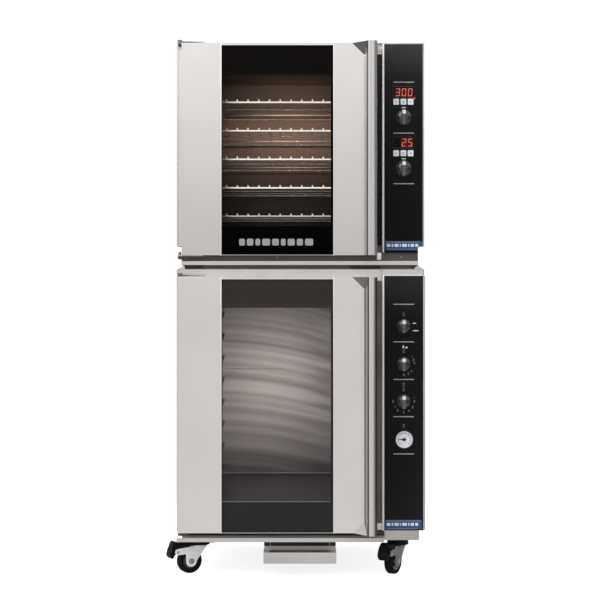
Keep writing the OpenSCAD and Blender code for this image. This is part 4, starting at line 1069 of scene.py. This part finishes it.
def make_gauge():
    """Dial face with ticks, a tapered needle with its hub, a dark rim and a white border."""
    low, high = box_mm("thermometer")
    centre = pos_mm("needle_turn")
    cx, cz = centre.x, centre.z
    radius = (high.x - low.x) / 2
    dial_y = low.y + 4.9
    disc = radius - 4.5
    face = [(0, 0.0), (disc, 0.0), (disc, 0.12), (0, 0.12)]
    place_lathe("dial_face", "dial", "cabinet", face, (cx, dial_y, cz), FORWARD, 48)

    ticks = []
    spot = Vector((cx, cz))
    for i in range(28):
        angle = math.radians(-45 + 10 * i)
        d = Vector((math.cos(angle), math.sin(angle)))
        n = Vector((-d.y, d.x))
        inner, half = (radius - 11.0, 0.75) if i % 3 == 0 else (radius - 8.6, 0.4)
        corners = ((inner, -half), (radius - 6.2, -half), (radius - 6.2, half), (inner, half))
        ticks.append([tuple(spot + d * reach + n * aside) for reach, aside in corners])
    place_plates("dial_ticks", "needle_black", "cabinet", ticks, dial_y - 0.3, dial_y - 0.1)

    tail, tip = box_mm("thermometer_needle")
    needle = bmesh.new()
    mid = tail.y + 0.8
    edge = [(tail.x, 0.5), (cx - 4, 1.7), (cx + 5, 1.9), (tip.x - 1.5, 1.6)]
    outline = [(x, cz - half) for x, half in edge] + [(x, cz + half) for x, half in reversed(edge)]
    add_plate(needle, outline, mid - 0.4, mid + 0.4, 0.15)
    hub = [(0, 1.4), (2.6, 1.2), (4.6, 0.7), (5.0, 0.0), (5.0, -0.9), (0, -0.9)]
    add_lathe(needle, hub, (cx, mid, cz), FORWARD, 28)
    place("needle_arm", needle, "needle_black", "needle", replaces=["thermometer_needle"])

    joint, ring_spot = radius - 2.4, (cx, low.y + 0.1, cz)
    place_lathe("dial_rim", "needle_black", "cabinet", [
        (joint, 0.0), (radius - 1.8, 0.7), (radius - 0.6, 0.75), (radius + 1.1, 0.2), (radius + 1.2, -1.0),
        (joint, -1.0), (joint, 0.0),
    ], ring_spot, FORWARD, 56)
    place_lathe("dial_border", "dial", "cabinet", [
        (radius - 5.2, -0.6), (radius - 4.6, 0.25), (joint, 0.3), (joint, -1.0), (radius - 5.2, -1.0),
        (radius - 5.2, -0.6),
    ], ring_spot, FORWARD, 56)


# ---------------------------------------------------------------- screws, pads, lamp and casters

def add_screw(bm, dark, centre, axis, radius=3.4, height=1.6):
    """A domed screw head, and its crossed slots in a second mesh."""
    share = ((0, 1), (0.45, 0.98), (0.8, 0.72), (0.97, 0.3), (1, 0))
    add_lathe(bm, [(radius * r, height * h) for r, h in share] + [(0, -0.1)], centre, axis, 20)
    axis = Vector(axis)
    side = axis.orthogonal().normalized()
    other = axis.cross(side)
    tip = Vector(centre) + axis * (height + 0.02)
    for a, b in ((side * 0.55, other * 0.13), (other * 0.55, side * 0.13)):
        corners = [tip + (a * s + b * t) * radius for s, t in ((-1, -1), (1, -1), (1, 1), (-1, 1))]
        add_skin(dark, [[dark.verts.new(c - axis * sink) for c in corners] for sink in (0, 0.4)])


def make_screws():
    """Screws on the oven's base strip and in three columns on the rear covers."""
    steel, dark = bmesh.new(), bmesh.new()
    base = box_mm("oven_base")[0]
    for x in (-69.0, 300.0):
        add_screw(steel, dark, (x, base.y + 12.0, base.z + 24.5), (0, -1, 0), 3.2)
    low, high = box_mm("back_covers")
    inset = 14
    prover_top, oven_floor = box_mm("prover_fascia")[1].z, box_mm("oven_fascia")[0].z
    for z in (
        low.z + inset, prover_top / 2, prover_top - 16, oven_floor + 22, (oven_floor + high.z) / 2,
        high.z - inset,
    ):
        for x in (low.x + inset, (low.x + high.x) / 2, high.x - inset):
            add_screw(steel, dark, (x, high.y - 14.0, z), (0, 1, 0), 5.0, 2.2)
    place("casing_screws", steel, "screw_steel", "cabinet")
    place("screw_slots", dark, "needle_black", "cabinet")


def make_stack_pads():
    """Two black blocks in the gap between the two cabinets."""
    low, high = box_mm("stacking_frame")
    place_blocks("stack_gap_blocks", "pad_rubber", "cabinet", [
        ((x0 - 0.3, low.y - 0.3, low.z + 0.3), (x1 + 0.3, low.y + 12, high.z - 0.3))
        for x0, x1 in ((-344.0, -296.0), (150.0, 236.0))
    ], 1.0)


def make_oven_lamp():
    """Round ceiling lamp lens inside the oven."""
    spot = (-150.0, -150.0, box_mm("oven_liner")[1].z - 2.2)
    lens = [(0, 12.0), (12, 11.0), (20, 7.0), (24, 1.0), (24, 0), (0, 0)]
    ring = [(24.5, 0), (30, 0), (31, 1.5), (30, 4), (26, 5), (24.5, 4), (24.5, 0)]
    place_lathe("oven_lamp_lens", "lens", "cabinet", lens, spot, (0, 0, -1))
    place_lathe("oven_lamp_rim", "chrome", "cabinet", ring, spot, (0, 0, -1))


def make_pedal(corner, pivot, axis):
    """Moulded brake pedal with a curved ribbed face; out is its direction away from the swivel axis."""
    out = Vector((axis.y, -axis.x, 0)).normalized()
    if out.dot(pivot - pos_mm(corner + "_swivel")) < 0:
        out = -out
    side = Vector((-out.y, out.x, 0))

    def slab(bm, outline, half, round_by, taper=0.0):
        """Adds (outwards, up) points from the pivot as a slab, narrower away from mid height."""
        near, far = [], []
        for u, v in outline:
            spot = pivot + out * u + Vector((0, 0, v))
            reach = half - taper * max(0.0, abs(v - 2) - 6)
            near.append(bm.verts.new(spot + side * reach))
            far.append(bm.verts.new(spot - side * reach))
        caps = [bm.faces.new(near), bm.faces.new(far[::-1])]
        for i in range(len(outline)):
            j = (i + 1) % len(outline)
            bm.faces.new((near[i], near[j], far[j], far[i]))
        if round_by > 0:
            edges = list({e for cap in caps for e in cap.edges})
            bmesh.ops.bevel(bm, geom=edges, offset=round_by, segments=3, affect="EDGES", profile=0.5)

    pad = bmesh.new()
    slab(pad, [
        (9.8, -12), (12.4, -17.2), (16.2, -19.6), (20.6, -17.6), (23.2, -13.4), (23.8, -9), (22.6, -4),
        (18.8, 5), (16.4, 14.6), (14.6, 24.4), (12.6, 30.6), (9.2, 32.8), (6.2, 31.4), (5.6, 25), (9.6, 5),
    ], 19.6, 2.0, 0.34)
    rib = ((-2.4, -1.5), (0.5, -1.5), (1.0, -0.6), (0.9, 0.8), (0.3, 1.5), (-2.4, 1.5))
    for step in range(7):
        t = step / 6
        u, v = 22.9 - 8.6 * t ** 0.8, -9.0 + 34.0 * t
        slab(pad, [(u + du, v + dv) for du, dv in rib], 15.5, 0, 0.30)
    slab(pad, [
        (0, -6), (11.5, -11), (11.5, 29), (-10, 27.6), (-40, 26), (-40, 13.5), (-20, 8.5), (-10, 3),
    ], 13.8, 1.6)
    body = corner + "_pedal"
    place(body + "_pad", pad, "caster_black", body, sharp=38, replaces=[corner + "_brake"])


def flipped(profile):
    """The same profile on the other side of the middle, from its last point back to its first."""
    return [(radius, -along) for radius, along in reversed(profile)]


def make_casters():
    """Tyre, rim, axle ends, brake pedal and brake rivets of each of the four casters."""
    half, fork = 12.5, 17.4
    nut = [
        (0, 5.2), (3.4, 5.2), (4.4, 4.4), (4.6, 3.2), (7.4, 3.0), (7.8, 2.4), (7.8, 0.8), (8.6, 0.6),
        (8.6, 0.0), (0, 0.0),
    ]
    rivet = [(0, 2.6), (2.4, 2.5), (3.4, 1.8), (3.7, 0.7), (3.7, 0.0), (0, 0.0)]
    for corner in ("front_left", "front_right", "rear_left", "rear_right"):
        wheel_low, wheel_high = box_mm(corner + "_wheel")
        hub, pivot = pos_mm(corner + "_roll"), pos_mm(corner + "_brake_press")
        axis = Vector(JOINTS[corner + "_roll"]["axis"]).normalized()
        radius = (wheel_high.z - wheel_low.z) / 2
        roller, frame_body = corner + "_roller", corner + "_caster"
        bolt, boss = bmesh.new(), bmesh.new()
        shoulder = [
            (radius * 0.66, half - 1.6), (radius * 0.80, half - 0.2), (radius * 0.90, half - 0.3),
            (radius * 0.97, half - 1.8), (radius * 0.995, half - 4.2), (radius, half - 7.0),
        ]
        tread = shoulder + [(radius, 0.0)] + flipped(shoulder)
        wheel = [corner + "_wheel"]
        place_lathe(corner + "_tread", "wheel_rubber", roller, tread, hub, axis, 64, 45, wheel)
        flank = [
            (4.3, half + 0.1), (10.5, half + 0.1), (11.5, half - 1.2), (12.5, half - 4.0),
            (radius * 0.58, half - 4.6), (radius * 0.66, half - 1.8), (radius * 0.665, half - 1.5),
            (radius * 0.64, half - 6.0),
        ]
        rim = flank + flipped(flank) + flank[:1]
        place_lathe(corner + "_rim", "black_plastic", roller, rim, hub, axis, 48, sharp=30)
        for side, steps in ((1, 28), (-1, 6)):
            add_lathe(bolt, nut, hub + axis * side * fork, axis * side, steps)
            add_lathe(boss, rivet, pivot + axis * side * fork, axis * side, 20)
        place(corner + "_axle_ends", bolt, "dark_bolt", frame_body, sharp=30)
        make_pedal(corner, pivot, axis)
        place(corner + "_brake_rivets", boss, "dark_bolt", frame_body, sharp=30)


# ---------------------------------------------------------------- floor

def make_floor():
    """A round white floor that fades out, so that it has no visible edge."""
    bm = bmesh.new()
    bmesh.ops.create_circle(bm, cap_ends=True, segments=96, radius=1.5)
    mesh = bpy.data.meshes.new("floor")
    bm.to_mesh(mesh)
    bm.free()
    tree, shader = new_material("floor_white")
    shader.inputs["Base Color"].default_value = (0.62, 0.62, 0.62, 1)
    shader.inputs["Roughness"].default_value = 0.9
    shader.inputs["Specular IOR Level"].default_value = 0.0
    shader.inputs["Emission Color"].default_value = (1, 1, 1, 1)
    path = tree.nodes.new("ShaderNodeLightPath")
    seen = spread(tree, path.outputs["Is Camera Ray"], 0.0, 0.80, 0.0, 1.0)
    tree.links.new(seen, shader.inputs["Emission Strength"])
    coord = tree.nodes.new("ShaderNodeTexCoord")
    length = tree.nodes.new("ShaderNodeVectorMath")
    length.operation = "LENGTH"
    tree.links.new(coord.outputs["Object"], length.inputs[0])
    tree.links.new(spread(tree, length.outputs["Value"], 1.0, 0.0, 0.7, 1.45), shader.inputs["Alpha"])
    mesh.materials.append(MATS["floor_white"])
    floor = bpy.data.objects.new("floor", mesh)
    SCENE.collection.objects.link(floor)


make_camera()
make_world()
make_lights()
make_steels()
make_graded_finishes()
make_coatings()
finish_cad_nodes()
paint_cad_nodes()
make_racks()
make_window_edges()
make_trim()
make_runner_gussets()
make_controls()
make_print()
make_badges()
make_glass_print()
make_gauge()
make_screws()
make_stack_pads()
make_oven_lamp()
make_casters()
make_floor()

SCENE.view_settings.view_transform = "Standard"
bpy.context.view_layer.update()
